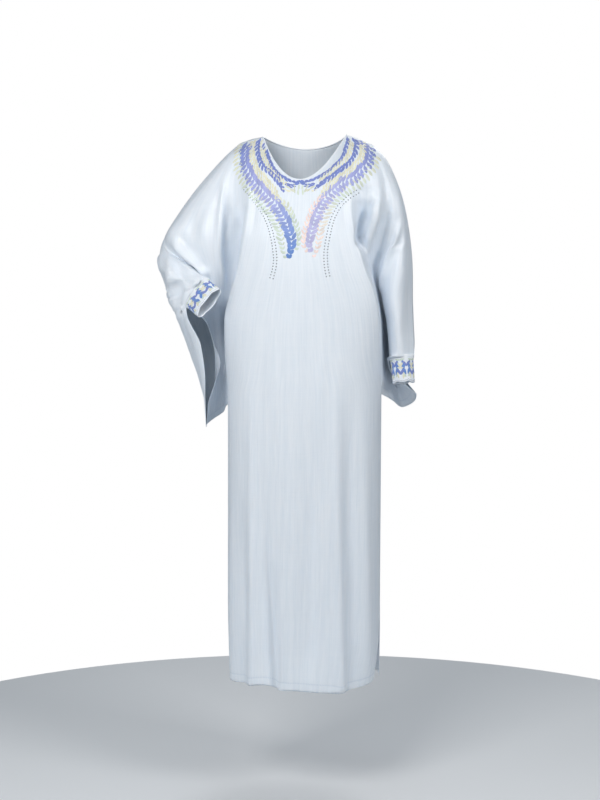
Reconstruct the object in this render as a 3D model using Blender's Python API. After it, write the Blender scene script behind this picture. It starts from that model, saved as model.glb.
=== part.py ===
"""Batwing boubou kaftan robe, worn with one arm bent to the hip and one arm hanging.

The robe is two panels, front and back, each cut in one with its two wide wings, joined along the
shoulders and arms, down the body sides and along the wing hems. Each wing's side edge is gathered
into a cuff for its top part, and hangs free below. The frame: the wearer faces -Y, +X is the
wearer's left, +Z is up, and the origin is at the middle of the shoulder line.

A panel is lofted across guides, which are lines down the cloth: the crests and valleys of its
largest folds, the seams and the free edges. A guide's rows are at levels, and a level is one line
across the cloth from wing edge to wing edge.
"""

import bisect
import math

import bmesh
import bpy
from mathutils import Vector

WALL = 0.002              # thickness of the cloth wall
SEAM_GAP = 0.0002         # from the middle of a seam to the edge of a panel
HEM_GAP = 0.0003          # from a wing hem's line to the inner face of each of its two layers

NECK_HALF = 0.105         # half the width of the neck opening
NECK_DROP_FRONT = 0.119
NECK_DEPTH_FRONT = 0.085
NECK_DROP_BACK = 0.024
NECK_DEPTH_BACK = 0.066
NECK_SHARE = 0.81         # the part of a panel's body columns that the neckline takes
PIPING_RADIUS = 0.0022
PIPING_GAP = 0.0006       # between the piping and the edge of the neckline

WING_LEVEL = 10           # the level of the wing hems
TURN_LEVEL = 9.5          # from here a wing runs straight down to its hem
BUST_LEVEL = 4
HEM_LEVEL = 13
BENT, HANGING = -1, 1     # the side of the bent arm is -X, of the hanging arm +X

SCALLOPS = 6              # round the wrist edge of a cuff
SCALLOP_DEPTH = 0.06      # as a part of the cuff's length
CUFF_EASE = 0.0030        # a cuff's oval is this much inside the gathered edge of the wing
CUFF_START = 0.06         # the part of a cuff's length that its sleeve end stands off the wing
CUFF_LEVELS = {BENT: 6, HANGING: 8}    # a wing's edge runs round its cuff in the level that follows

BODY_SQUARENESS = 2.35    # the power of the body's superellipse

# Each level's height at the body side below the bent arm and below the hanging arm, and the depth
# of the body in front of and behind the shoulder line.
LEVELS = (
    # level, bent_z, hanging_z, front, back
    (0, 0.000, 0.000, 0.040, 0.040),
    (1, -0.057, -0.057, 0.075, 0.085),
    (2, -0.125, -0.125, 0.100, 0.108),
    (3, -0.190, -0.190, 0.124, 0.120),
    (4, -0.262, -0.262, 0.146, 0.124),
    (5, -0.335, -0.335, 0.150, 0.124),
    (6, -0.400, -0.400, 0.150, 0.125),
    (7, -0.460, -0.460, 0.150, 0.127),
    (8, -0.540, -0.530, 0.150, 0.130),
    (9, -0.610, -0.585, 0.151, 0.132),
    (10, -0.665, -0.640, 0.152, 0.134),
    (11, -0.900, -0.900, 0.158, 0.142),
    (12, -1.150, -1.150, 0.170, 0.156),
    (13, -1.355, -1.355, 0.184, 0.172),
)

# The two cuffs: the middle of the sleeve end, the middle of the wrist end, the way to the seam
# under the wrist, and half the width and half the thickness of the oval.
CUFFS = {
    BENT: ((-0.2523, -0.095, -0.393), (-0.2175, -0.130, -0.418), (-0.61, -0.08, -0.79), 0.045, 0.017),
    HANGING: ((0.2430, 0.000, -0.553), (0.2480, -0.006, -0.611), (-1.0, 0.0, -0.07), 0.0295, 0.0295),
}

# Guides: rows of (level, x, y, z).
BENT_RIDGE = (
    (0, -0.165, 0.000, -0.015), (1, -0.213, 0.004, -0.057), (2, -0.276, 0.010, -0.124),
    (3, -0.331, 0.018, -0.194), (4, -0.364, 0.022, -0.248), (4.5, -0.349, -0.031, -0.281),
    (5, -0.292, -0.068, -0.318), (5.5, -0.252, -0.086, -0.344),
)
HANGING_RIDGE = (
    (0, 0.168, 0.000, -0.025), (1, 0.203, 0.006, -0.062), (2, 0.231, 0.018, -0.122),
    (3, 0.249, 0.028, -0.185), (4, 0.261, 0.042, -0.262), (5, 0.266, 0.048, -0.335),
    (6, 0.267, 0.042, -0.410), (7, 0.270, 0.030, -0.470), (7.6, 0.273, 0.015, -0.515),
)
BENT_FREE_EDGE = {
    "front": ((7.4, -0.244, -0.068, -0.452), (8, -0.224, -0.032, -0.520), (8.5, -0.213, -0.014, -0.562),
              (9, -0.225, -0.024, -0.615), (9.6, -0.242, -0.034, -0.675), (10, -0.245, -0.030, -0.725)),
    "back": ((7.4, -0.270, -0.122, -0.458), (8, -0.243, -0.104, -0.520), (9, -0.238, -0.080, -0.592),
             (9.6, -0.242, -0.058, -0.660), (10, -0.246, -0.034, -0.725)),
}
HANGING_FREE_EDGE = {
    "front": ((9.25, 0.211, 0.018, -0.572), (9.5, 0.222, 0.036, -0.592), (10, 0.277, 0.032, -0.642)),
    "back": ((9.25, 0.219, 0.042, -0.566), (9.5, 0.236, 0.054, -0.594), (10, 0.277, 0.032, -0.642)),
}

# The line of each wing's hem, from its outer corner to the body side.
HEM_LINES = {
    BENT: ((-0.245, -0.032, -0.725), (-0.252, 0.010, -0.719), (-0.245, 0.056, -0.708),
           (-0.224, 0.076, -0.692), (-0.210, 0.040, -0.675), (-0.191, 0.000, -0.665)),
    HANGING: ((0.277, 0.032, -0.642), (0.273, 0.068, -0.656), (0.258, 0.104, -0.670),
              (0.234, 0.118, -0.678), (0.218, 0.082, -0.662), (0.209, 0.032, -0.652), (0.191, 0.000, -0.640)),
}

# Wing guides from the arm's edge to the body. Their first rows, on the shoulder line, and their last
# rows, on the hem line, are worked out.
FRONT_BENT = (
    # over the upper arm, then the inside of the elbow
    ((1, -0.192, -0.035, -0.057), (2, -0.244, -0.042, -0.125), (3, -0.292, -0.046, -0.190),
     (4, -0.326, -0.058, -0.260), (5, -0.258, -0.056, -0.335), (6, -0.226, -0.044, -0.400),
     (7, -0.234, -0.026, -0.455), (8, -0.228, -0.006, -0.540), (9, -0.234, 0.014, -0.630)),
    # the soft fold that hangs from the shoulder
    ((1, -0.172, -0.052, -0.057), (2, -0.200, -0.064, -0.125), (3, -0.216, -0.074, -0.190),
     (4, -0.219, -0.082, -0.262), (5, -0.216, -0.070, -0.335), (6, -0.211, -0.050, -0.400),
     (7, -0.213, -0.018, -0.460), (8, -0.216, 0.016, -0.540), (9, -0.221, 0.044, -0.620)),
    # the hollow between the arm and the body
    ((1, -0.152, -0.060, -0.057), (2, -0.162, -0.072, -0.125), (3, -0.160, -0.072, -0.190),
     (4, -0.162, -0.064, -0.262), (5, -0.173, -0.042, -0.335), (6, -0.186, -0.012, -0.400),
     (7, -0.197, 0.014, -0.460), (8, -0.204, 0.028, -0.540), (9, -0.208, 0.032, -0.605)),
)
FRONT_HANGING = (
    # the front of the sleeve
    ((1, 0.197, -0.020, -0.060), (2, 0.226, -0.024, -0.122), (3, 0.244, -0.028, -0.186),
     (4, 0.248, -0.026, -0.262), (5, 0.239, -0.034, -0.335), (6, 0.230, -0.038, -0.408),
     (7, 0.234, -0.038, -0.468), (8, 0.236, -0.034, -0.536), (8.5, 0.222, -0.030, -0.548),
     (8.75, 0.2095, -0.014, -0.550), (9, 0.2065, 0.016, -0.560), (9.25, 0.2085, 0.036, -0.578),
     (9.5, 0.223, 0.050, -0.602)),
    # the side of the sleeve that faces the body
    ((1, 0.188, -0.034, -0.058), (2, 0.214, -0.044, -0.123), (3, 0.228, -0.048, -0.188),
     (4, 0.218, -0.032, -0.262), (5, 0.192, -0.004, -0.335), (6, 0.195, 0.004, -0.405),
     (7, 0.205, 0.006, -0.465), (8, 0.211, 0.006, -0.528), (9, 0.211, 0.040, -0.572),
     (9.25, 0.216, 0.058, -0.590), (9.5, 0.230, 0.074, -0.616)),
    # the bottom of the pocket between the sleeve and the body
    ((1, 0.176, -0.043, -0.057), (2, 0.203, -0.052, -0.125), (3, 0.207, -0.056, -0.190),
     (4, 0.188, -0.038, -0.262), (5, 0.179, 0.010, -0.335), (6, 0.190, 0.040, -0.400),
     (7, 0.203, 0.062, -0.460), (8, 0.209, 0.074, -0.530), (9, 0.212, 0.084, -0.592),
     (9.5, 0.225, 0.100, -0.634)),
    # the narrow bright fold below the shoulder
    ((1, 0.164, -0.053, -0.057), (2, 0.187, -0.072, -0.125), (3, 0.190, -0.084, -0.190),
     (4, 0.167, -0.064, -0.262), (5, 0.170, -0.010, -0.335), (6, 0.183, 0.018, -0.400),
     (7, 0.194, 0.042, -0.460), (8, 0.198, 0.050, -0.530), (9, 0.202, 0.056, -0.590),
     (9.5, 0.211, 0.062, -0.624)),
    # the armhole's dark hollow
    ((1, 0.150, -0.061, -0.057), (2, 0.156, -0.086, -0.125), (3, 0.156, -0.064, -0.190),
     (4, 0.150, -0.066, -0.264), (5, 0.166, -0.054, -0.335), (6, 0.182, -0.030, -0.400),
     (7, 0.192, 0.000, -0.460), (8, 0.195, 0.010, -0.530), (9, 0.198, 0.016, -0.585),
     (9.5, 0.204, 0.020, -0.614)),
)
BACK_BENT = (
    # over the arm, then the forearm's outer side and the front of the hanging wing
    ((1, -0.196, 0.034, -0.057), (2, -0.254, 0.042, -0.125), (3, -0.316, 0.050, -0.194),
     (4, -0.373, 0.042, -0.262), (4.5, -0.371, -0.006, -0.296), (5, -0.332, -0.074, -0.345),
     (6, -0.285, -0.102, -0.374), (7, -0.300, -0.100, -0.436), (8, -0.266, -0.078, -0.530),
     (9, -0.252, -0.048, -0.615)),
    # the wing's outer side
    ((1, -0.180, 0.056, -0.057), (2, -0.230, 0.076, -0.125), (3, -0.290, 0.088, -0.192),
     (4, -0.352, 0.080, -0.262), (4.5, -0.375, 0.040, -0.296), (5, -0.363, 0.014, -0.345),
     (6, -0.352, 0.006, -0.400), (7, -0.329, 0.008, -0.456), (8, -0.295, 0.014, -0.540),
     (9, -0.266, 0.022, -0.625)),
    # the wing's back
    ((1, -0.162, 0.072, -0.057), (2, -0.196, 0.100, -0.125), (3, -0.228, 0.118, -0.190),
     (4, -0.270, 0.124, -0.262), (5, -0.290, 0.124, -0.335), (6, -0.288, 0.122, -0.400),
     (7, -0.276, 0.120, -0.460), (8, -0.256, 0.116, -0.540), (9, -0.238, 0.108, -0.620)),
    # the hollow between the arm and the body
    ((1, -0.145, 0.080, -0.057), (2, -0.160, 0.106, -0.125), (3, -0.176, 0.112, -0.190),
     (4, -0.196, 0.104, -0.262), (5, -0.206, 0.098, -0.335), (6, -0.208, 0.096, -0.400),
     (7, -0.207, 0.096, -0.460), (8, -0.206, 0.096, -0.540), (9, -0.204, 0.084, -0.605)),
)
BACK_HANGING = (
    # the back of the sleeve
    ((1, 0.196, 0.030, -0.060), (2, 0.226, 0.050, -0.122), (3, 0.246, 0.064, -0.186),
     (4, 0.258, 0.082, -0.262), (5, 0.263, 0.090, -0.335), (6, 0.264, 0.084, -0.408),
     (7, 0.267, 0.072, -0.470), (8, 0.266, 0.056, -0.535), (9, 0.226, 0.058, -0.560),
     (9.5, 0.250, 0.082, -0.612)),
    # the hanging cloth behind the sleeve
    ((1, 0.178, 0.052, -0.058), (2, 0.206, 0.080, -0.124), (3, 0.228, 0.098, -0.188),
     (4, 0.240, 0.114, -0.262), (5, 0.246, 0.122, -0.335), (6, 0.250, 0.122, -0.405),
     (7, 0.254, 0.118, -0.465), (8, 0.256, 0.114, -0.540), (9, 0.246, 0.118, -0.596)),
    # the fold nearest the body
    ((1, 0.165, 0.070, -0.057), (2, 0.188, 0.100, -0.125), (3, 0.208, 0.122, -0.190),
     (4, 0.218, 0.136, -0.262), (5, 0.222, 0.146, -0.335), (6, 0.226, 0.152, -0.400),
     (7, 0.230, 0.154, -0.460), (8, 0.231, 0.152, -0.530), (9, 0.226, 0.140, -0.592)),
    # the hollow between that fold and the body
    ((1, 0.147, 0.080, -0.057), (2, 0.160, 0.106, -0.125), (3, 0.174, 0.114, -0.190),
     (4, 0.185, 0.112, -0.262), (5, 0.190, 0.112, -0.335), (6, 0.193, 0.112, -0.400),
     (7, 0.197, 0.116, -0.460), (8, 0.199, 0.112, -0.530), (9, 0.200, 0.098, -0.585),
     (9.5, 0.203, 0.088, -0.620)),
)

# Where the wings leave the body. Below the wing hems these are the side seams, and the hanging
# arm's side opens into a walking slit.
FRONT_SIDE = {
    BENT: ((0, -0.130, 0.000, -0.004), (1, -0.132, -0.065, -0.057), (2, -0.126, -0.093, -0.125),
           (3, -0.122, -0.112, -0.190), (4, -0.130, -0.120, -0.262), (5, -0.148, -0.114, -0.335),
           (6, -0.172, -0.098, -0.400), (7, -0.188, -0.080, -0.460), (8, -0.191, -0.060, -0.540),
           (9, -0.191, -0.030, -0.610), (10, -0.191, 0.000, -0.665), (12, -0.190, 0.000, -1.150),
           (13, -0.182, 0.000, -1.355)),
    HANGING: ((0, 0.130, 0.000, -0.008), (1, 0.134, -0.065, -0.057), (2, 0.129, -0.095, -0.125),
              (3, 0.127, -0.116, -0.190), (4, 0.139, -0.124, -0.262), (5, 0.160, -0.118, -0.335),
              (6, 0.183, -0.100, -0.400), (7, 0.191, -0.082, -0.460), (8, 0.191, -0.060, -0.530),
              (9, 0.191, -0.030, -0.585), (10, 0.191, 0.000, -0.640), (12, 0.188, 0.000, -1.150),
              (12.4, 0.187, -0.001, -1.232), (13, 0.176, -0.016, -1.355)),
}
BACK_SIDE = {
    BENT: ((0, -0.130, 0.000, -0.004), (1, -0.132, 0.078, -0.057), (2, -0.134, 0.100, -0.125),
           (3, -0.140, 0.106, -0.190), (4, -0.150, 0.104, -0.262), (5, -0.160, 0.098, -0.335),
           (6, -0.168, 0.094, -0.400), (7, -0.175, 0.088, -0.460), (8, -0.179, 0.082, -0.540),
           (9, -0.185, 0.062, -0.610), (9.5, -0.188, 0.036, -0.638), (10, -0.191, 0.000, -0.665),
           (12, -0.190, 0.000, -1.150),
           (13, -0.182, 0.000, -1.355)),
    HANGING: ((0, 0.130, 0.000, -0.008), (1, 0.134, 0.078, -0.057), (2, 0.137, 0.100, -0.125),
              (3, 0.146, 0.106, -0.190), (4, 0.156, 0.103, -0.262), (5, 0.164, 0.098, -0.335),
              (6, 0.170, 0.094, -0.400), (7, 0.177, 0.086, -0.460), (8, 0.181, 0.080, -0.530),
              (9, 0.186, 0.060, -0.585), (9.5, 0.189, 0.034, -0.612), (10, 0.191, 0.000, -0.640),
              (12, 0.188, 0.000, -1.150),
              (12.4, 0.188, 0.002, -1.232), (13, 0.186, 0.014, -1.355)),
}

WING_STEPS = {BENT: 10, HANGING: 12}   # columns across each wing
STEPS_DOWN_WING = 2       # rows between two levels above the wing hems
STEPS_DOWN_CUFF = 4       # the same where a wing's edge runs round a cuff
CLOSE_LEVELS = (6, 8, 9)  # where that is
STEPS_DOWN_BODY = 2       # rows between two levels below them
NECK_STEPS = 5            # columns from the middle of the front to the side of the neck
CUFF_STEPS = 24


def smooth(rows, place):
    """Read the named guide at a place by a cubic through its rows, without overshoot."""
    keys = [row[0] for row in rows]
    index = min(max(bisect.bisect_right(keys, place) - 1, 0), len(rows) - 2)
    before = rows[max(index - 1, 0)]
    start, end = rows[index], rows[index + 1]
    after = rows[min(index + 2, len(rows) - 1)]
    span = end[0] - start[0]
    part = min(max((place - start[0]) / span, 0.0), 1.0)
    value = []
    for column in range(1, len(start)):
        slope_in = slope(before, start, end, column) * span
        slope_out = slope(start, end, after, column) * span
        h_start = 2 * part ** 3 - 3 * part ** 2 + 1
        h_in = part ** 3 - 2 * part ** 2 + part
        h_end = 3 * part ** 2 - 2 * part ** 3
        h_out = part ** 3 - part ** 2
        value.append(h_start * start[column] + h_in * slope_in + h_end * end[column] + h_out * slope_out)
    return value


def slope(before, row, after, column):
    """The slope of a cubic at a row. Where the value keeps rising or keeps falling, it is at most
    twice the gentler of the two slopes beside it, so the cubic can't overshoot."""
    mean = (after[column] - before[column]) / (after[0] - before[0])
    if row[0] in (before[0], after[0]):
        return mean
    first = (row[column] - before[column]) / (row[0] - before[0])
    second = (after[column] - row[column]) / (after[0] - row[0])
    if first * second <= 0.0:
        return mean
    limit = 2 * min(abs(first), abs(second))
    return max(-limit, min(mean, limit))


def across(points, part):
    """Read a smooth line through points at part (0 to 1, the same step between two points)."""
    rows = [(index, *point) for index, point in enumerate(points)]
    return Vector(smooth(rows, part * (len(points) - 1)))


def cuff_point(side, turn, length=0.0, proud=0.0):
    """A point of a cuff's oval: turn 0 is the arm's top seam, 0.5 the seam below the wrist, and
    0 to 0.5 runs over the front panel's half. length runs from sleeve end to wrist end."""
    sleeve_end, wrist_end, under, half_width, half_thickness = CUFFS[side]
    start, end = Vector(sleeve_end), Vector(wrist_end)
    axis = (end - start).normalized()
    under = Vector(under)
    under = (under - under.dot(axis) * axis).normalized()
    front = under.cross(axis) * side
    angle = 2 * math.pi * turn
    ring = -under * (half_width + proud) * math.cos(angle) + front * (half_thickness + proud) * math.sin(angle)
    return start.lerp(end, length) + ring


def edge_guide(side, panel):
    """The outer edge of a wing: arm seam, half of the cuff's oval, then the free edge."""
    ridge = BENT_RIDGE if side == BENT else HANGING_RIDGE
    free = (BENT_FREE_EDGE if side == BENT else HANGING_FREE_EDGE)[panel]
    first = CUFF_LEVELS[side]
    half = 0.5 if panel == "front" else -0.5
    gather = []
    for step in range(5):
        part = step / 4
        gather.append((first + part, *cuff_point(side, half * part)))
    return tuple(ridge) + tuple(gather) + tuple(free)


def neck_point(panel, part):
    """The neckline: part -1 is the bent arm's side of the neck, 0 the middle, 1 the other side."""
    fall = 1 - part * part
    if panel == "front":
        return Vector((NECK_HALF * part, -NECK_DEPTH_FRONT * fall ** 0.8, -NECK_DROP_FRONT * fall))
    return Vector((NECK_HALF * part, NECK_DEPTH_BACK * fall ** 0.6, -NECK_DROP_BACK * fall))


def top_point(panel, place, ends):
    """The top of a body column: on the neckline, or on the shoulder beside it."""
    if abs(place) <= NECK_SHARE:
        return neck_point(panel, place / NECK_SHARE)
    side = BENT if place < 0 else HANGING
    along = (abs(place) - NECK_SHARE) / (1 - NECK_SHARE)
    return neck_point(panel, side).lerp(ends[side], along)


def body_point(panel, level, place):
    """A point of the body: place -1 is the bent arm's side guide, 0 the middle, 1 the other."""
    guides = FRONT_SIDE if panel == "front" else BACK_SIDE
    facing = -1 if panel == "front" else 1
    side = BENT if place < 0 else HANGING
    here = form_point(guides, facing, level, place)
    if level >= BUST_LEVEL:
        return here
    bust = form_point(guides, facing, BUST_LEVEL, place)
    ends = {s: Vector(smooth(guides[s], 0)) for s in (BENT, HANGING)}
    top = top_point(panel, place, ends)
    share = smooth(LEVELS, level)[0] / LEVELS[BUST_LEVEL][1]
    side_here = Vector(smooth(guides[side], level))
    side_bust = Vector(smooth(guides[side], BUST_LEVEL))
    swell = side_here - ends[side].lerp(side_bust, share)
    return top.lerp(bust, share) + swell * abs(place) ** 1.5


def form_point(guides, facing, level, place):
    """A point of the body's superellipse through the middle depth and the two side guides."""
    bent_z, hanging_z, front, back = smooth(LEVELS, level)
    depth = front if facing < 0 else back
    side = Vector(smooth(guides[BENT if place < 0 else HANGING], level))
    power = 2 / BODY_SQUARENESS
    ratio = min(max(facing * side.y / depth, 0.0), 1.0)
    limit = math.acos(ratio ** (1 / power))
    angle = limit * abs(place)
    width = side.x / math.sin(limit) ** power
    x = width * math.sin(angle) ** power
    y = facing * depth * max(math.cos(angle), 0.0) ** power
    middle_z = (bent_z + hanging_z) / 2
    return Vector((x, y, middle_z + (side.z - middle_z) * abs(place)))


def wing_guides(side, panel):
    """The guides of one wing, from its edge to the body, all starting on the shoulder line."""
    if panel == "front":
        middle, body = (FRONT_BENT if side == BENT else FRONT_HANGING), FRONT_SIDE[side]
    else:
        middle, body = (BACK_BENT if side == BENT else BACK_HANGING), BACK_SIDE[side]
    edge = edge_guide(side, panel)
    start, end = Vector(edge[0][1:]), Vector(body[0][1:])
    guides = [edge]
    for index, rows in enumerate(middle):
        part = (index + 1) / (len(middle) + 1)
        guides.append(((0, *start.lerp(end, part)), *rows, (WING_LEVEL, *across(HEM_LINES[side], part))))
    return guides + [body]


def wing_line(side, panel, level):
    """One level's points across a wing, from its edge to the body side."""
    count = WING_STEPS[side]
    if level > TURN_LEVEL:
        part = (level - TURN_LEVEL) / (WING_LEVEL - TURN_LEVEL)
        upper, lower = wing_line(side, panel, TURN_LEVEL), hem_layer(side, panel)
        return [start.lerp(end, part) for start, end in zip(upper, lower)]
    points = [Vector(smooth(guide, level)) for guide in wing_guides(side, panel)]
    return [across(points, step / count) for step in range(count + 1)]


def hem_layer(side, panel):
    """One panel's layer of a wing hem: the front's is inside the hem's line, the back's outside."""
    count = WING_STEPS[side]
    line = [across(HEM_LINES[side], step / count) for step in range(count + 1)]
    middle = sum(line, Vector()) / len(line)
    reach = -HEM_GAP if panel == "front" else HEM_GAP
    layer = []
    for point in line[:-1]:
        away = point - middle
        away.z = 0.0
        layer.append(point + away.normalized() * reach)
    return layer + [line[-1]]


def body_places():
    """The places of a panel's body columns, with one exactly at each side of the neck."""
    half = [NECK_SHARE * step / NECK_STEPS for step in range(NECK_STEPS + 1)]
    half += [(NECK_SHARE + 1) / 2, 1.0]
    return [-place for place in reversed(half[1:])] + half


def level_list():
    """The levels of a panel's rows, top to hem."""
    levels = []
    for level in range(WING_LEVEL):
        steps = STEPS_DOWN_CUFF if level in CLOSE_LEVELS else STEPS_DOWN_WING
        levels += [level + step / steps for step in range(steps)]
    levels.append(WING_LEVEL)
    below = (HEM_LEVEL - WING_LEVEL) * STEPS_DOWN_BODY
    return levels + [WING_LEVEL + (step + 1) / STEPS_DOWN_BODY for step in range(below)]


def panel_grid(panel):
    """Rows of points; the wing columns are None below the wing hems."""
    rows = []
    for level in level_list():
        body = [body_point(panel, level, place) for place in body_places()]
        if level > WING_LEVEL:
            rows.append([None] * WING_STEPS[BENT] + body + [None] * WING_STEPS[HANGING])
            continue
        bent = wing_line(BENT, panel, level)
        hanging = wing_line(HANGING, panel, level)
        rows.append(bent[:-1] + body + hanging[:-1][::-1])
    return rows


def sheet_mesh(rows, outward):
    """A flat sheet of quads from rows of points, facing the way that outward says."""
    mesh = bmesh.new()
    verts = [[mesh.verts.new(p) if p is not None else None for p in row] for row in rows]
    for upper, lower in zip(verts, verts[1:]):
        for index in range(len(upper) - 1):
            corners = [upper[index], lower[index], lower[index + 1], upper[index + 1]]
            if None in corners:
                continue
            mesh.faces.new(corners if outward < 0 else corners[::-1])
    return mesh


def add_object(name, mesh, material):
    """Put a finished bmesh in the scene, shaded smooth."""
    data = bpy.data.meshes.new(name)
    mesh.to_mesh(data)
    mesh.free()
    data.shade_smooth()
    data.materials.append(material)
    obj = bpy.data.objects.new(name, data)
    bpy.context.collection.objects.link(obj)
    return obj


def fabric(name, colour, roughness):
    """A cloth material of one colour and sheen."""
    material = bpy.data.materials.new(name)
    material.use_nodes = True
    shader = material.node_tree.nodes["Principled BSDF"]
    shader.inputs["Base Color"].default_value = (*colour, 1.0)
    shader.inputs["Roughness"].default_value = roughness
    shader.inputs["Metallic"].default_value = 0.0
    return material


def pull_back_edges(mesh, distance):
    """Move the sheet's rim into the sheet, which leaves the gap at the seams."""
    moves = {}
    for edge in mesh.edges:
        if not edge.is_boundary:
            continue
        face = edge.link_faces[0]
        along = (edge.verts[1].co - edge.verts[0].co).normalized()
        inward = face.calc_center_median() - (edge.verts[0].co + edge.verts[1].co) / 2
        inward = (inward - inward.dot(along) * along).normalized()
        for vert in edge.verts:
            moves[vert] = moves.get(vert, Vector()) + inward
    for vert, move in moves.items():
        if move.length > 1e-6:
            vert.co += move.normalized() * distance


def add_panel(panel, material):
    """One whole panel, body and wings in one piece, as a wall of even thickness."""
    facing = -1 if panel == "front" else 1
    mesh = sheet_mesh(panel_grid(panel), facing)
    mesh.normal_update()
    pull_back_edges(mesh, SEAM_GAP)
    obj = add_object(panel, mesh, material)
    wall = obj.modifiers.new("cloth thickness", "SOLIDIFY")
    wall.thickness = WALL
    wall.offset = 1.0
    wall.use_even_offset = False
    return obj


def add_cuff(name, side, material):
    """A cuff: a short oval tube, its wrist edge in small scallops."""
    mesh = bmesh.new()
    rings = []
    for length in (CUFF_START, 0.5, 1.0):
        for depth in (WALL / 2 - CUFF_EASE, -WALL / 2 - CUFF_EASE):
            ring = []
            for step in range(CUFF_STEPS):
                turn = step / CUFF_STEPS
                reach = length
                if length == 1.0:
                    reach += SCALLOP_DEPTH * abs(math.sin(math.pi * SCALLOPS * turn))
                ring.append(mesh.verts.new(cuff_point(side, turn, reach, depth)))
            rings.append(ring)
    loop = [rings[0], rings[2], rings[4], rings[5], rings[3], rings[1]]
    for first, second in zip(loop, loop[1:] + loop[:1]):
        for step in range(CUFF_STEPS):
            after = (step + 1) % CUFF_STEPS
            mesh.faces.new((first[step], first[after], second[after], second[step]))
    bmesh.ops.recalc_face_normals(mesh, faces=mesh.faces)
    return add_object(name, mesh, material)


def add_piping(material):
    """The round piping that edges the neckline, front and back in one loop."""
    mesh = bmesh.new()
    rim = []
    down = []
    for panel, sign in (("front", 1), ("back", -1)):
        for step in range(2 * NECK_STEPS):
            place = NECK_SHARE * sign * (step / NECK_STEPS - 1)
            rim.append(body_point(panel, 0, place))
            down.append(body_point(panel, 0.5, place) - rim[-1])
    path = []
    for index, point in enumerate(rim):
        along = (rim[(index + 1) % len(rim)] - rim[index - 1]).normalized()
        beyond = (down[index].dot(along) * along - down[index]).normalized()
        if index % (2 * NECK_STEPS) == 0:
            beyond = Vector((-point.x, 0, NECK_HALF)).normalized()
        path.append(point + beyond * (PIPING_RADIUS + PIPING_GAP))
    rings = []
    for index, point in enumerate(path):
        along = (path[(index + 1) % len(path)] - path[index - 1]).normalized()
        first_way = Vector((0, 0, 1)) - along.z * along
        first_way.normalize()
        second_way = along.cross(first_way)
        ring = []
        for turn in range(6):
            angle = 2 * math.pi * turn / 6
            offset = first_way * math.cos(angle) + second_way * math.sin(angle)
            ring.append(mesh.verts.new(point + offset * PIPING_RADIUS))
        rings.append(ring)
    for first, second in zip(rings, rings[1:] + rings[:1]):
        for turn in range(6):
            after = (turn + 1) % 6
            mesh.faces.new((first[turn], first[after], second[after], second[turn]))
    bmesh.ops.recalc_face_normals(mesh, faces=mesh.faces)
    return add_object("neck_piping", mesh, material)


def build():
    """Clear the scene and make the robe."""
    for old in list(bpy.data.objects):
        bpy.data.objects.remove(old)
    satin = fabric("ice blue satin", (0.66, 0.74, 0.84), 0.45)
    trim = fabric("embroidered cuff", (0.62, 0.68, 0.82), 0.55)
    piping = fabric("pale piping", (0.78, 0.83, 0.90), 0.50)
    add_panel("front", satin)
    add_panel("back", satin)
    add_cuff("cuff_bent_arm", BENT, trim)
    add_cuff("cuff_hanging_arm", HANGING, trim)
    add_piping(piping)


build()
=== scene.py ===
import bisect
import math

import bmesh
import bpy
import numpy as np
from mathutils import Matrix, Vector
from mathutils.bvhtree import BVHTree


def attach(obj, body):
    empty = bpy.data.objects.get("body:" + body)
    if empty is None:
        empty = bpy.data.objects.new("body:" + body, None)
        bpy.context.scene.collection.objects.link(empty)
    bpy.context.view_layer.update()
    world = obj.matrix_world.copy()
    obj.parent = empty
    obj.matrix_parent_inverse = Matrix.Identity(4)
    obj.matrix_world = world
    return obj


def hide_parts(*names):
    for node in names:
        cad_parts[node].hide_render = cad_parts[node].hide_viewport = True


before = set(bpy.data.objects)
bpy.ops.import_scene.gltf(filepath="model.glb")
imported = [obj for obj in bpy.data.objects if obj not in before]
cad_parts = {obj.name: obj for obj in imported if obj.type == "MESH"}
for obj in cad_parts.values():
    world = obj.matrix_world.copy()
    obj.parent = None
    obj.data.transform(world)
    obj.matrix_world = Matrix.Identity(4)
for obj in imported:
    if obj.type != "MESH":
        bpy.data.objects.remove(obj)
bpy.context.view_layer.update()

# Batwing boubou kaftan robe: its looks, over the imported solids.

# ---------------------------------------------------------------------------------------------
# Studio: the camera a little to one side and level with the robe's middle, a pale round floor below
# the hem in a white room, a key light close to the front and a little up and to the left, softer
# lights from the right, from low on the left and from behind.

AIM = Vector((-0.012, 0.0, -0.6575))
CAMERA_DISTANCE = 3.4
CAMERA_AZIMUTH = math.radians(8.0)
CAMERA_ELEVATION = math.radians(1.85)

lens = bpy.data.cameras.new("studio camera")
lens.sensor_fit = "VERTICAL"
lens.sensor_height = 36.0
lens.lens = 61.0
camera = bpy.data.objects.new("studio camera", lens)
bpy.context.collection.objects.link(camera)
backwards = Vector((
    math.sin(CAMERA_AZIMUTH) * math.cos(CAMERA_ELEVATION),
    -math.cos(CAMERA_AZIMUTH) * math.cos(CAMERA_ELEVATION),
    math.sin(CAMERA_ELEVATION),
))
camera.location = AIM + backwards * CAMERA_DISTANCE
camera.rotation_mode = "QUATERNION"
camera.rotation_quaternion = (-backwards).to_track_quat("-Z", "Y")
bpy.context.scene.camera = camera
bpy.context.scene.view_settings.view_transform = "Standard"

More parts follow.
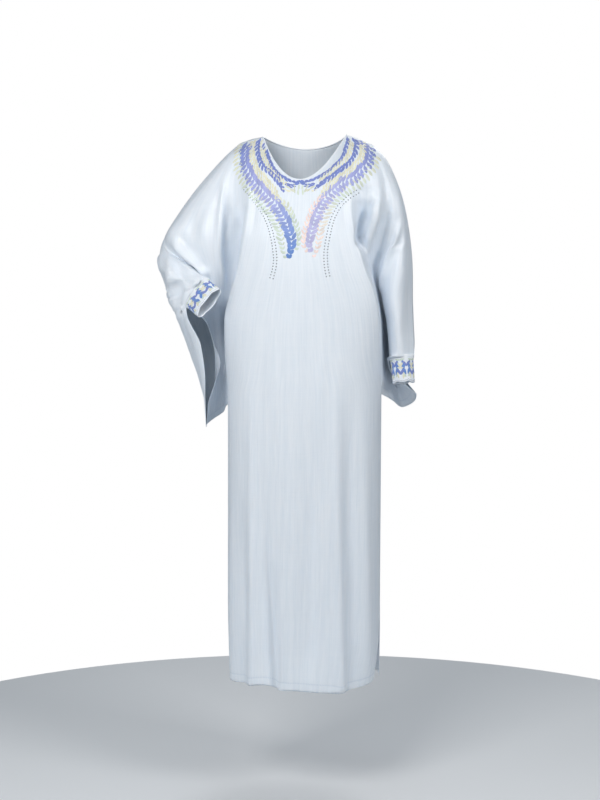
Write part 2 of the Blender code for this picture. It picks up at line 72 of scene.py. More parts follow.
world = bpy.data.worlds.new("white studio")
bpy.context.scene.world = world
world.use_nodes = True
sky = world.node_tree.nodes["Background"]
sky.inputs["Color"].default_value = (0.72, 0.86, 1.0, 1.0)
sky.inputs["Strength"].default_value = 0.23
backdrop = world.node_tree.nodes.new("ShaderNodeBackground")
backdrop.inputs["Color"].default_value = (1.0, 1.0, 1.0, 1.0)
light_path = world.node_tree.nodes.new("ShaderNodeLightPath")
world_mix = world.node_tree.nodes.new("ShaderNodeMixShader")
world.node_tree.links.new(light_path.outputs["Is Camera Ray"], world_mix.inputs[0])
world.node_tree.links.new(sky.outputs[0], world_mix.inputs[1])
world.node_tree.links.new(backdrop.outputs[0], world_mix.inputs[2])
world.node_tree.links.new(world_mix.outputs[0], world.node_tree.nodes["World Output"].inputs[0])

FLOOR_Z = -1.62
FLOOR_RADIUS = 1.45
floor_bm = bmesh.new()
bmesh.ops.create_circle(floor_bm, cap_ends=True, segments=96, radius=FLOOR_RADIUS)
bmesh.ops.translate(floor_bm, vec=(0.0, 0.0, FLOOR_Z), verts=floor_bm.verts)
floor_mesh = bpy.data.meshes.new("floor")
floor_bm.to_mesh(floor_mesh)
floor_bm.free()
floor = bpy.data.objects.new("floor", floor_mesh)
bpy.context.collection.objects.link(floor)
floor_paint = bpy.data.materials.new("pale floor")
floor_paint.use_nodes = True
floor_shader = floor_paint.node_tree.nodes["Principled BSDF"]
floor_shader.inputs["Base Color"].default_value = (0.76, 0.77, 0.78, 1.0)
floor_shader.inputs["Roughness"].default_value = 0.9
floor_mesh.materials.append(floor_paint)

LAMPS = (
    # name, place, aim, size, watts, colour
    ("key", (-0.60, -2.10, 0.80), (0.0, 0.0, -0.10), 1.1, 38.0, (1.0, 0.985, 0.965)),
    ("right", (2.2, -1.5, 0.5), (0.33, 0.0, -0.25), 1.0, 34.0, (1.0, 0.99, 0.98)),
    ("left", (-2.2, -1.3, -0.7), (-0.32, 0.0, -0.45), 0.9, 11.5, (0.97, 0.985, 1.0)),
    ("back", (0.4, 2.8, 1.6), (0.0, 0.0, -0.5), 1.6, 36.0, (1.0, 1.0, 1.0)),
)
for name, place, target, size, watts, colour in LAMPS:
    light = bpy.data.lights.new(name, "AREA")
    light.shape = "SQUARE"
    light.size = size
    light.energy = watts
    light.color = colour
    lamp = bpy.data.objects.new(name, light)
    lamp.location = place
    lamp.rotation_mode = "QUATERNION"
    lamp.rotation_quaternion = (Vector(target) - Vector(place)).to_track_quat("-Z", "Y")
    bpy.context.collection.objects.link(lamp)

# ---------------------------------------------------------------------------------------------
# Front and back: two panels of pale ice-blue satin crepe, each cut in one with its two wide wings
# and sewn along the shoulders and arms, down the body sides and along the wing hems. Each wing's
# side edge is gathered into a cuff for its top part, and hangs free below it.

SEAM_GAP = 0.0002
HEM_GAP = 0.0006
CLOTH = 0.0009            # thickness of the satin shell

NECK_HALF = 0.105
NECK_DROP_FRONT = 0.119
NECK_DEPTH_FRONT = 0.085
NECK_DROP_BACK = 0.024
NECK_DEPTH_BACK = 0.066
NECK_SHARE = 0.81

WING_LEVEL = 10
TURN_LEVEL = 9.5
BUST_LEVEL = 4
HEM_LEVEL = 13
BENT, HANGING = -1, 1

CUFF_LEVELS = {BENT: 6, HANGING: 8}
BODY_SQUARENESS = 2.35

LEVELS = (
    # level, bent_z, hanging_z, front, back
    (0, 0.000, 0.000, 0.040, 0.040),
    (1, -0.057, -0.057, 0.075, 0.085),
    (2, -0.125, -0.125, 0.100, 0.108),
    (3, -0.190, -0.190, 0.124, 0.120),
    (4, -0.262, -0.262, 0.146, 0.124),
    (5, -0.335, -0.335, 0.150, 0.124),
    (6, -0.400, -0.400, 0.150, 0.125),
    (7, -0.460, -0.460, 0.150, 0.127),
    (8, -0.540, -0.530, 0.150, 0.130),
    (9, -0.610, -0.585, 0.151, 0.132),
    (10, -0.665, -0.640, 0.152, 0.134),
    (11, -0.900, -0.900, 0.158, 0.142),
    (12, -1.150, -1.150, 0.170, 0.156),
    (13, -1.355, -1.355, 0.184, 0.172),
)

# A cuff: middle of the sleeve end, middle of the wrist end, way to the seam under the wrist, and
# half the width and half the thickness of the oval.
CUFFS = {
    BENT: ((-0.2523, -0.095, -0.393), (-0.2175, -0.130, -0.418), (-0.61, -0.08, -0.79), 0.045, 0.017),
    HANGING: ((0.2430, 0.000, -0.553), (0.2480, -0.006, -0.611), (-1.0, 0.0, -0.07), 0.0295, 0.0295),
}

# Guides: rows of (level, x, y, z).
BENT_RIDGE = (
    (0, -0.165, 0.000, -0.015), (1, -0.213, 0.004, -0.057), (2, -0.276, 0.010, -0.124),
    (3, -0.331, 0.018, -0.194), (4, -0.364, 0.022, -0.248), (4.5, -0.349, -0.031, -0.281),
    (5, -0.292, -0.068, -0.318), (5.5, -0.252, -0.086, -0.344),
)
HANGING_RIDGE = (
    (0, 0.168, 0.000, -0.025), (1, 0.203, 0.006, -0.062), (2, 0.231, 0.018, -0.122),
    (3, 0.249, 0.028, -0.185), (4, 0.261, 0.042, -0.262), (5, 0.266, 0.048, -0.335),
    (6, 0.267, 0.042, -0.410), (7, 0.270, 0.030, -0.470), (7.6, 0.273, 0.015, -0.515),
)
BENT_FREE_EDGE = {
    "front": ((7.4, -0.244, -0.068, -0.452), (8, -0.224, -0.032, -0.520), (8.5, -0.213, -0.014, -0.562),
              (9, -0.225, -0.024, -0.615), (9.6, -0.242, -0.034, -0.675), (10, -0.245, -0.030, -0.725)),
    "back": ((7.4, -0.270, -0.122, -0.458), (8, -0.243, -0.104, -0.520), (9, -0.238, -0.080, -0.592),
             (9.6, -0.242, -0.058, -0.660), (10, -0.246, -0.034, -0.725)),
}
HANGING_FREE_EDGE = {
    "front": ((9.25, 0.211, 0.018, -0.572), (9.5, 0.222, 0.036, -0.592), (10, 0.277, 0.032, -0.642)),
    "back": ((9.25, 0.219, 0.042, -0.566), (9.5, 0.236, 0.054, -0.594), (10, 0.277, 0.032, -0.642)),
}

# The line of each wing's hem, from its outer corner to the body side.
HEM_LINES = {
    BENT: ((-0.245, -0.032, -0.725), (-0.252, 0.010, -0.719), (-0.245, 0.056, -0.708),
           (-0.224, 0.076, -0.692), (-0.210, 0.040, -0.675), (-0.191, 0.000, -0.665)),
    HANGING: ((0.277, 0.032, -0.642), (0.273, 0.068, -0.656), (0.258, 0.104, -0.670),
              (0.234, 0.118, -0.678), (0.218, 0.082, -0.662), (0.209, 0.032, -0.652), (0.191, 0.000, -0.640)),
}

# Wing guides from the arm's edge to the body. Their first rows, on the shoulder line, and their last
# rows, on the hem line, are worked out.
FRONT_BENT = (
    # over the upper arm, then the inside of the elbow
    ((1, -0.192, -0.035, -0.057), (2, -0.244, -0.042, -0.125), (3, -0.292, -0.046, -0.190),
     (4, -0.326, -0.058, -0.260), (5, -0.258, -0.056, -0.335), (6, -0.226, -0.044, -0.400),
     (7, -0.234, -0.026, -0.455), (8, -0.228, -0.006, -0.540), (9, -0.234, 0.014, -0.630)),
    # the soft fold that hangs from the shoulder
    ((1, -0.172, -0.052, -0.057), (2, -0.200, -0.064, -0.125), (3, -0.216, -0.074, -0.190),
     (4, -0.219, -0.082, -0.262), (5, -0.216, -0.070, -0.335), (6, -0.211, -0.050, -0.400),
     (7, -0.213, -0.018, -0.460), (8, -0.216, 0.016, -0.540), (9, -0.221, 0.044, -0.620)),
    # the hollow between the arm and the body
    ((1, -0.152, -0.060, -0.057), (2, -0.162, -0.072, -0.125), (3, -0.160, -0.072, -0.190),
     (4, -0.162, -0.064, -0.262), (5, -0.173, -0.042, -0.335), (6, -0.186, -0.012, -0.400),
     (7, -0.197, 0.014, -0.460), (8, -0.204, 0.028, -0.540), (9, -0.208, 0.032, -0.605)),
)
FRONT_HANGING = (
    # the front of the sleeve
    ((1, 0.197, -0.020, -0.060), (2, 0.226, -0.024, -0.122), (3, 0.244, -0.028, -0.186),
     (4, 0.248, -0.026, -0.262), (5, 0.239, -0.034, -0.335), (6, 0.230, -0.038, -0.408),
     (7, 0.234, -0.038, -0.468), (8, 0.236, -0.034, -0.536), (8.5, 0.222, -0.030, -0.548),
     (8.75, 0.2095, -0.014, -0.550), (9, 0.2065, 0.016, -0.560), (9.25, 0.2085, 0.036, -0.578),
     (9.5, 0.223, 0.050, -0.602)),
    # the side of the sleeve that faces the body
    ((1, 0.188, -0.034, -0.058), (2, 0.214, -0.044, -0.123), (3, 0.228, -0.048, -0.188),
     (4, 0.218, -0.032, -0.262), (5, 0.192, -0.004, -0.335), (6, 0.195, 0.004, -0.405),
     (7, 0.205, 0.006, -0.465), (8, 0.211, 0.006, -0.528), (9, 0.211, 0.040, -0.572),
     (9.25, 0.216, 0.058, -0.590), (9.5, 0.230, 0.074, -0.616)),
    # the bottom of the pocket between the sleeve and the body
    ((1, 0.176, -0.043, -0.057), (2, 0.203, -0.052, -0.125), (3, 0.207, -0.056, -0.190),
     (4, 0.188, -0.038, -0.262), (5, 0.179, 0.010, -0.335), (6, 0.190, 0.040, -0.400),
     (7, 0.203, 0.062, -0.460), (8, 0.209, 0.074, -0.530), (9, 0.212, 0.084, -0.592),
     (9.5, 0.225, 0.100, -0.634)),
    # the narrow bright fold below the shoulder
    ((1, 0.164, -0.053, -0.057), (2, 0.187, -0.072, -0.125), (3, 0.190, -0.084, -0.190),
     (4, 0.167, -0.064, -0.262), (5, 0.170, -0.010, -0.335), (6, 0.183, 0.018, -0.400),
     (7, 0.194, 0.042, -0.460), (8, 0.198, 0.050, -0.530), (9, 0.202, 0.056, -0.590),
     (9.5, 0.211, 0.062, -0.624)),
    # the armhole's dark hollow
    ((1, 0.150, -0.061, -0.057), (2, 0.156, -0.086, -0.125), (3, 0.156, -0.064, -0.190),
     (4, 0.150, -0.066, -0.264), (5, 0.166, -0.054, -0.335), (6, 0.182, -0.030, -0.400),
     (7, 0.192, 0.000, -0.460), (8, 0.195, 0.010, -0.530), (9, 0.198, 0.016, -0.585),
     (9.5, 0.204, 0.020, -0.614)),
)
BACK_BENT = (
    # over the arm, then the forearm's outer side and the front of the hanging wing
    ((1, -0.196, 0.034, -0.057), (2, -0.254, 0.042, -0.125), (3, -0.316, 0.050, -0.194),
     (4, -0.373, 0.042, -0.262), (4.5, -0.371, -0.006, -0.296), (5, -0.332, -0.074, -0.345),
     (6, -0.285, -0.102, -0.374), (7, -0.300, -0.100, -0.436), (8, -0.266, -0.078, -0.530),
     (9, -0.252, -0.048, -0.615)),
    # the wing's outer side
    ((1, -0.180, 0.056, -0.057), (2, -0.230, 0.076, -0.125), (3, -0.290, 0.088, -0.192),
     (4, -0.352, 0.080, -0.262), (4.5, -0.375, 0.040, -0.296), (5, -0.363, 0.014, -0.345),
     (6, -0.352, 0.006, -0.400), (7, -0.329, 0.008, -0.456), (8, -0.295, 0.014, -0.540),
     (9, -0.266, 0.022, -0.625)),
    # the wing's back
    ((1, -0.162, 0.072, -0.057), (2, -0.196, 0.100, -0.125), (3, -0.228, 0.118, -0.190),
     (4, -0.270, 0.124, -0.262), (5, -0.290, 0.124, -0.335), (6, -0.288, 0.122, -0.400),
     (7, -0.276, 0.120, -0.460), (8, -0.256, 0.116, -0.540), (9, -0.238, 0.108, -0.620)),
    # the hollow between the arm and the body
    ((1, -0.145, 0.080, -0.057), (2, -0.160, 0.106, -0.125), (3, -0.176, 0.112, -0.190),
     (4, -0.196, 0.104, -0.262), (5, -0.206, 0.098, -0.335), (6, -0.208, 0.096, -0.400),
     (7, -0.207, 0.096, -0.460), (8, -0.206, 0.096, -0.540), (9, -0.204, 0.084, -0.605)),
)
BACK_HANGING = (
    # the back of the sleeve
    ((1, 0.196, 0.030, -0.060), (2, 0.226, 0.050, -0.122), (3, 0.246, 0.064, -0.186),
     (4, 0.258, 0.082, -0.262), (5, 0.263, 0.090, -0.335), (6, 0.264, 0.084, -0.408),
     (7, 0.267, 0.072, -0.470), (8, 0.266, 0.056, -0.535), (9, 0.226, 0.058, -0.560),
     (9.5, 0.250, 0.082, -0.612)),
    # the hanging cloth behind the sleeve
    ((1, 0.178, 0.052, -0.058), (2, 0.206, 0.080, -0.124), (3, 0.228, 0.098, -0.188),
     (4, 0.240, 0.114, -0.262), (5, 0.246, 0.122, -0.335), (6, 0.250, 0.122, -0.405),
     (7, 0.254, 0.118, -0.465), (8, 0.256, 0.114, -0.540), (9, 0.246, 0.118, -0.596)),
    # the fold nearest the body
    ((1, 0.165, 0.070, -0.057), (2, 0.188, 0.100, -0.125), (3, 0.208, 0.122, -0.190),
     (4, 0.218, 0.136, -0.262), (5, 0.222, 0.146, -0.335), (6, 0.226, 0.152, -0.400),
     (7, 0.230, 0.154, -0.460), (8, 0.231, 0.152, -0.530), (9, 0.226, 0.140, -0.592)),
    # the hollow between that fold and the body
    ((1, 0.147, 0.080, -0.057), (2, 0.160, 0.106, -0.125), (3, 0.174, 0.114, -0.190),
     (4, 0.185, 0.112, -0.262), (5, 0.190, 0.112, -0.335), (6, 0.193, 0.112, -0.400),
     (7, 0.197, 0.116, -0.460), (8, 0.199, 0.112, -0.530), (9, 0.200, 0.098, -0.585),
     (9.5, 0.203, 0.088, -0.620)),
)

# Where the wings leave the body. Below the wing hems these are the side seams, and the hanging
# arm's side opens into a walking slit.
FRONT_SIDE = {
    BENT: ((0, -0.130, 0.000, -0.004), (1, -0.132, -0.065, -0.057), (2, -0.126, -0.093, -0.125),
           (3, -0.122, -0.112, -0.190), (4, -0.130, -0.120, -0.262), (5, -0.148, -0.114, -0.335),
           (6, -0.172, -0.098, -0.400), (7, -0.188, -0.080, -0.460), (8, -0.191, -0.060, -0.540),
           (9, -0.191, -0.030, -0.610), (10, -0.191, 0.000, -0.665), (12, -0.190, 0.000, -1.150),
           (13, -0.182, 0.000, -1.355)),
    HANGING: ((0, 0.130, 0.000, -0.008), (1, 0.134, -0.065, -0.057), (2, 0.129, -0.095, -0.125),
              (3, 0.127, -0.116, -0.190), (4, 0.139, -0.124, -0.262), (5, 0.160, -0.118, -0.335),
              (6, 0.183, -0.100, -0.400), (7, 0.191, -0.082, -0.460), (8, 0.191, -0.060, -0.530),
              (9, 0.191, -0.030, -0.585), (10, 0.191, 0.000, -0.640), (12, 0.188, 0.000, -1.150),
              (12.4, 0.187, -0.001, -1.232), (13, 0.176, -0.016, -1.355)),
}
BACK_SIDE = {
    BENT: ((0, -0.130, 0.000, -0.004), (1, -0.132, 0.078, -0.057), (2, -0.134, 0.100, -0.125),
           (3, -0.140, 0.106, -0.190), (4, -0.150, 0.104, -0.262), (5, -0.160, 0.098, -0.335),
           (6, -0.168, 0.094, -0.400), (7, -0.175, 0.088, -0.460), (8, -0.179, 0.082, -0.540),
           (9, -0.185, 0.062, -0.610), (9.5, -0.188, 0.036, -0.638), (10, -0.191, 0.000, -0.665),
           (12, -0.190, 0.000, -1.150),
           (13, -0.182, 0.000, -1.355)),
    HANGING: ((0, 0.130, 0.000, -0.008), (1, 0.134, 0.078, -0.057), (2, 0.137, 0.100, -0.125),
              (3, 0.146, 0.106, -0.190), (4, 0.156, 0.103, -0.262), (5, 0.164, 0.098, -0.335),
              (6, 0.170, 0.094, -0.400), (7, 0.177, 0.086, -0.460), (8, 0.181, 0.080, -0.530),
              (9, 0.186, 0.060, -0.585), (9.5, 0.189, 0.034, -0.612), (10, 0.191, 0.000, -0.640),
              (12, 0.188, 0.000, -1.150),
              (12.4, 0.188, 0.002, -1.232), (13, 0.186, 0.014, -1.355)),
}


def smooth(rows, place):
    """Read the named guide at a place by a cubic through its rows, without overshoot."""
    keys = [row[0] for row in rows]
    index = min(max(bisect.bisect_right(keys, place) - 1, 0), len(rows) - 2)
    before = rows[max(index - 1, 0)]
    start, end = rows[index], rows[index + 1]
    after = rows[min(index + 2, len(rows) - 1)]
    span = end[0] - start[0]
    part = min(max((place - start[0]) / span, 0.0), 1.0)
    h_start = 2 * part ** 3 - 3 * part ** 2 + 1
    h_in = (part ** 3 - 2 * part ** 2 + part) * span
    h_end = 3 * part ** 2 - 2 * part ** 3
    h_out = (part ** 3 - part ** 2) * span
    value = []
    for column in range(1, len(start)):
        slope_in = slope(before, start, end, column)
        slope_out = slope(start, end, after, column)
        value.append(h_start * start[column] + h_in * slope_in + h_end * end[column] + h_out * slope_out)
    return value


def slope(before, row, after, column):
    """The slope of a cubic at a row, at most twice the gentler of the two slopes beside it."""
    mean = (after[column] - before[column]) / (after[0] - before[0])
    if row[0] in (before[0], after[0]):
        return mean
    first = (row[column] - before[column]) / (row[0] - before[0])
    second = (after[column] - row[column]) / (after[0] - row[0])
    if first * second <= 0.0:
        return mean
    limit = 2 * min(abs(first), abs(second))
    return max(-limit, min(mean, limit))


def across(points, part):
    """Read a smooth line through points at part (0 to 1, the same step between two points)."""
    rows = [(index, *point) for index, point in enumerate(points)]
    return Vector(smooth(rows, part * (len(points) - 1)))


def cuff_point(side, turn, length=0.0, proud=0.0):
    """A point of a cuff's oval: turn 0 is the arm's top seam, 0.5 the seam below the wrist."""
    sleeve_end, wrist_end, under, half_width, half_thickness = CUFFS[side]
    start, end = Vector(sleeve_end), Vector(wrist_end)
    axis = (end - start).normalized()
    under = Vector(under)
    under = (under - under.dot(axis) * axis).normalized()
    front = under.cross(axis) * side
    angle = 2 * math.pi * turn
    across_wrist = -under * (half_width + proud) * math.cos(angle)
    through_wrist = front * (half_thickness + proud) * math.sin(angle)
    return start.lerp(end, length) + (across_wrist + through_wrist)


def edge_guide(side, panel):
    """The outer edge of a wing: arm seam, half of the cuff's oval, then the free edge."""
    ridge = BENT_RIDGE if side == BENT else HANGING_RIDGE
    free = (BENT_FREE_EDGE if side == BENT else HANGING_FREE_EDGE)[panel]
    first = CUFF_LEVELS[side]
    half = 0.5 if panel == "front" else -0.5
    gather = tuple((first + step / 4, *cuff_point(side, half * step / 4)) for step in range(5))
    return tuple(ridge) + gather + tuple(free)


def neck_point(panel, part):
    """The neckline: part -1 is the bent arm's side of the neck, 0 the middle, 1 the other side."""
    fall = 1 - part * part
    if panel == "front":
        return Vector((NECK_HALF * part, -NECK_DEPTH_FRONT * fall ** 0.8, -NECK_DROP_FRONT * fall))
    return Vector((NECK_HALF * part, NECK_DEPTH_BACK * fall ** 0.6, -NECK_DROP_BACK * fall))


def top_point(panel, place, ends):
    """The top of a body column: on the neckline, or on the shoulder beside it."""
    if abs(place) <= NECK_SHARE:
        return neck_point(panel, place / NECK_SHARE)
    side = BENT if place < 0 else HANGING
    along = (abs(place) - NECK_SHARE) / (1 - NECK_SHARE)
    return neck_point(panel, side).lerp(ends[side], along)


def body_point(panel, level, place):
    """A point of the body: place -1 is the bent arm's side guide, 0 the middle, 1 the other."""
    guides = FRONT_SIDE if panel == "front" else BACK_SIDE
    facing = -1 if panel == "front" else 1
    side = BENT if place < 0 else HANGING
    here = form_point(guides, facing, level, place)
    if level >= BUST_LEVEL:
        return here
    bust = form_point(guides, facing, BUST_LEVEL, place)
    ends = {s: Vector(smooth(guides[s], 0)) for s in (BENT, HANGING)}
    top = top_point(panel, place, ends)
    share = smooth(LEVELS, level)[0] / LEVELS[BUST_LEVEL][1]
    side_here = Vector(smooth(guides[side], level))
    side_bust = Vector(smooth(guides[side], BUST_LEVEL))
    swell = side_here - ends[side].lerp(side_bust, share)
    return top.lerp(bust, share) + swell * abs(place) ** 1.5


def form_point(guides, facing, level, place):
    """A point of the body's superellipse through the middle depth and the two side guides."""
    bent_z, hanging_z, front, back = smooth(LEVELS, level)
    depth = front if facing < 0 else back
    side = Vector(smooth(guides[BENT if place < 0 else HANGING], level))
    power = 2 / BODY_SQUARENESS
    ratio = min(max(facing * side.y / depth, 0.0), 1.0)
    limit = math.acos(ratio ** (1 / power))
    angle = limit * abs(place)
    width = side.x / math.sin(limit) ** power
    x = width * math.sin(angle) ** power
    y = facing * depth * max(math.cos(angle), 0.0) ** power
    middle_z = (bent_z + hanging_z) / 2
    return Vector((x, y, middle_z + (side.z - middle_z) * abs(place)))


def wing_guides(side, panel):
    """The guides of one wing, from its edge to the body, all starting on the shoulder line."""
    if panel == "front":
        middle, body = (FRONT_BENT if side == BENT else FRONT_HANGING), FRONT_SIDE[side]
    else:
        middle, body = (BACK_BENT if side == BENT else BACK_HANGING), BACK_SIDE[side]
    edge = edge_guide(side, panel)
    start, end = Vector(edge[0][1:]), Vector(body[0][1:])
    guides = [edge]
    for index, rows in enumerate(middle):
        part = (index + 1) / (len(middle) + 1)
        guides.append(((0, *start.lerp(end, part)), *rows, (WING_LEVEL, *across(HEM_LINES[side], part))))
    return guides + [body]


def wing_line(side, panel, level, count):
    """One level's points across a wing, from its edge to the body side."""
    if level > TURN_LEVEL:
        part = (level - TURN_LEVEL) / (WING_LEVEL - TURN_LEVEL)
        upper, lower = wing_line(side, panel, TURN_LEVEL, count), hem_layer(side, panel, count)
        return [start.lerp(end, part) for start, end in zip(upper, lower)]
    points = [Vector(smooth(guide, level)) for guide in wing_guides(side, panel)]
    return [across(points, step / count) for step in range(count + 1)]


def hem_layer(side, panel, count):
    """One panel's layer of a wing hem: the front's is inside the hem's line, the back's outside."""
    line = [across(HEM_LINES[side], step / count) for step in range(count + 1)]
    middle = sum(line, Vector()) / len(line)
    reach = -HEM_GAP if panel == "front" else HEM_GAP
    layer = []
    for point in line[:-1]:
        away = point - middle
        away.z = 0.0
        layer.append(point + away.normalized() * reach)
    return layer + [line[-1]]


WING_COLUMNS = {BENT: 52, HANGING: 60}
NECK_COLUMNS = 34         # from the middle to the side of the neck
SHOULDER_COLUMNS = 9      # from there to the wing
ROWS_IN_WING = 11         # rows in a level above the wing hems
ROWS_IN_SKIRT = 34        # rows in a level below them

PLACES = [NECK_SHARE * step / NECK_COLUMNS for step in range(NECK_COLUMNS + 1)]
PLACES += [NECK_SHARE + (1 - NECK_SHARE) * (step + 1) / SHOULDER_COLUMNS for step in range(SHOULDER_COLUMNS)]
PLACES = [-place for place in reversed(PLACES[1:])] + PLACES
ROW_LEVELS = [row / ROWS_IN_WING for row in range(WING_LEVEL * ROWS_IN_WING + 1)]
SKIRT_ROWS = (HEM_LEVEL - WING_LEVEL) * ROWS_IN_SKIRT
ROW_LEVELS += [WING_LEVEL + (row + 1) / ROWS_IN_SKIRT for row in range(SKIRT_ROWS)]
ROW_LEVELS = np.array(ROW_LEVELS)
FIRST_BODY = WING_COLUMNS[BENT]
LAST_BODY = FIRST_BODY + len(PLACES) - 1
COLUMNS = LAST_BODY + WING_COLUMNS[HANGING]
ROWS = len(ROW_LEVELS) - 1


def panel_form(panel):
    """The panel's plain worn form, as rows of points. The wings end at their hems."""
    form = np.full((ROWS + 1, COLUMNS + 1, 3), np.nan)
    for row, level in enumerate(ROW_LEVELS):
        form[row, FIRST_BODY:LAST_BODY + 1] = [body_point(panel, level, place) for place in PLACES]
        if level <= WING_LEVEL:
            form[row, :FIRST_BODY] = wing_line(BENT, panel, level, WING_COLUMNS[BENT])[:-1]
            form[row, LAST_BODY + 1:] = wing_line(HANGING, panel, level, WING_COLUMNS[HANGING])[:-1][::-1]
    return form


def outward(form, facing):
    """The outward normal at each point of a form."""
    filled = form.copy()
    for row in range(1, ROWS + 1):
        gap = np.isnan(filled[row, :, 0])
        filled[row, gap] = filled[row - 1, gap] + (0.0, 0.0, -0.001)
    down = np.gradient(filled, axis=0)
    along = np.gradient(filled, axis=1)
    normal = np.cross(along, down) * facing
    return normal / np.maximum(np.linalg.norm(normal, axis=2, keepdims=True), 1e-9)


def path_distance(form, path):
    """How far each point of a form is from a path of (x, z) seen from the front, and the part of the
    path that is nearest to it."""
    flat = form[:, :, (0, 2)]
    best = np.full(flat.shape[:2], 9.0)
    part = np.zeros(flat.shape[:2])
    ends = [np.array(point[:2]) for point in path]
    for index, (start, end) in enumerate(zip(ends, ends[1:])):
        way = end - start
        along = np.clip(((flat - start) @ way) / (way @ way), 0.0, 1.0)
        away = np.linalg.norm(flat - start - along[..., None] * way, axis=2)
        nearer = away < best
        best = np.where(nearer, away, best)
        part = np.where(nearer, (index + along) / (len(ends) - 1), part)
    return best, part


def soft_fold(form, where, path, width, height, fade_in, fade_out):
    """A soft ridge, or a trough where height is negative, along a path seen from the front."""
    away, part = path_distance(form, path)
    rise = np.exp(-(away / width) ** 2) * height
    rise *= np.clip(part / max(fade_in, 1e-6), 0.0, 1.0) * np.clip((1 - part) / max(fade_out, 1e-6), 0.0, 1.0)
    return np.where(where, np.nan_to_num(rise), 0.0)


column_number, row_number = np.meshgrid(np.arange(COLUMNS + 1), np.arange(ROWS + 1))
level_number = ROW_LEVELS[row_number]
on_body = (column_number >= FIRST_BODY - 3) & (column_number <= LAST_BODY + 3)
on_bent_wing = column_number < FIRST_BODY + 4
on_hanging_wing = column_number > LAST_BODY - 4
# the part of the back panel that comes round the bent forearm to the front
round_forearm = column_number < WING_COLUMNS[BENT] * 0.42

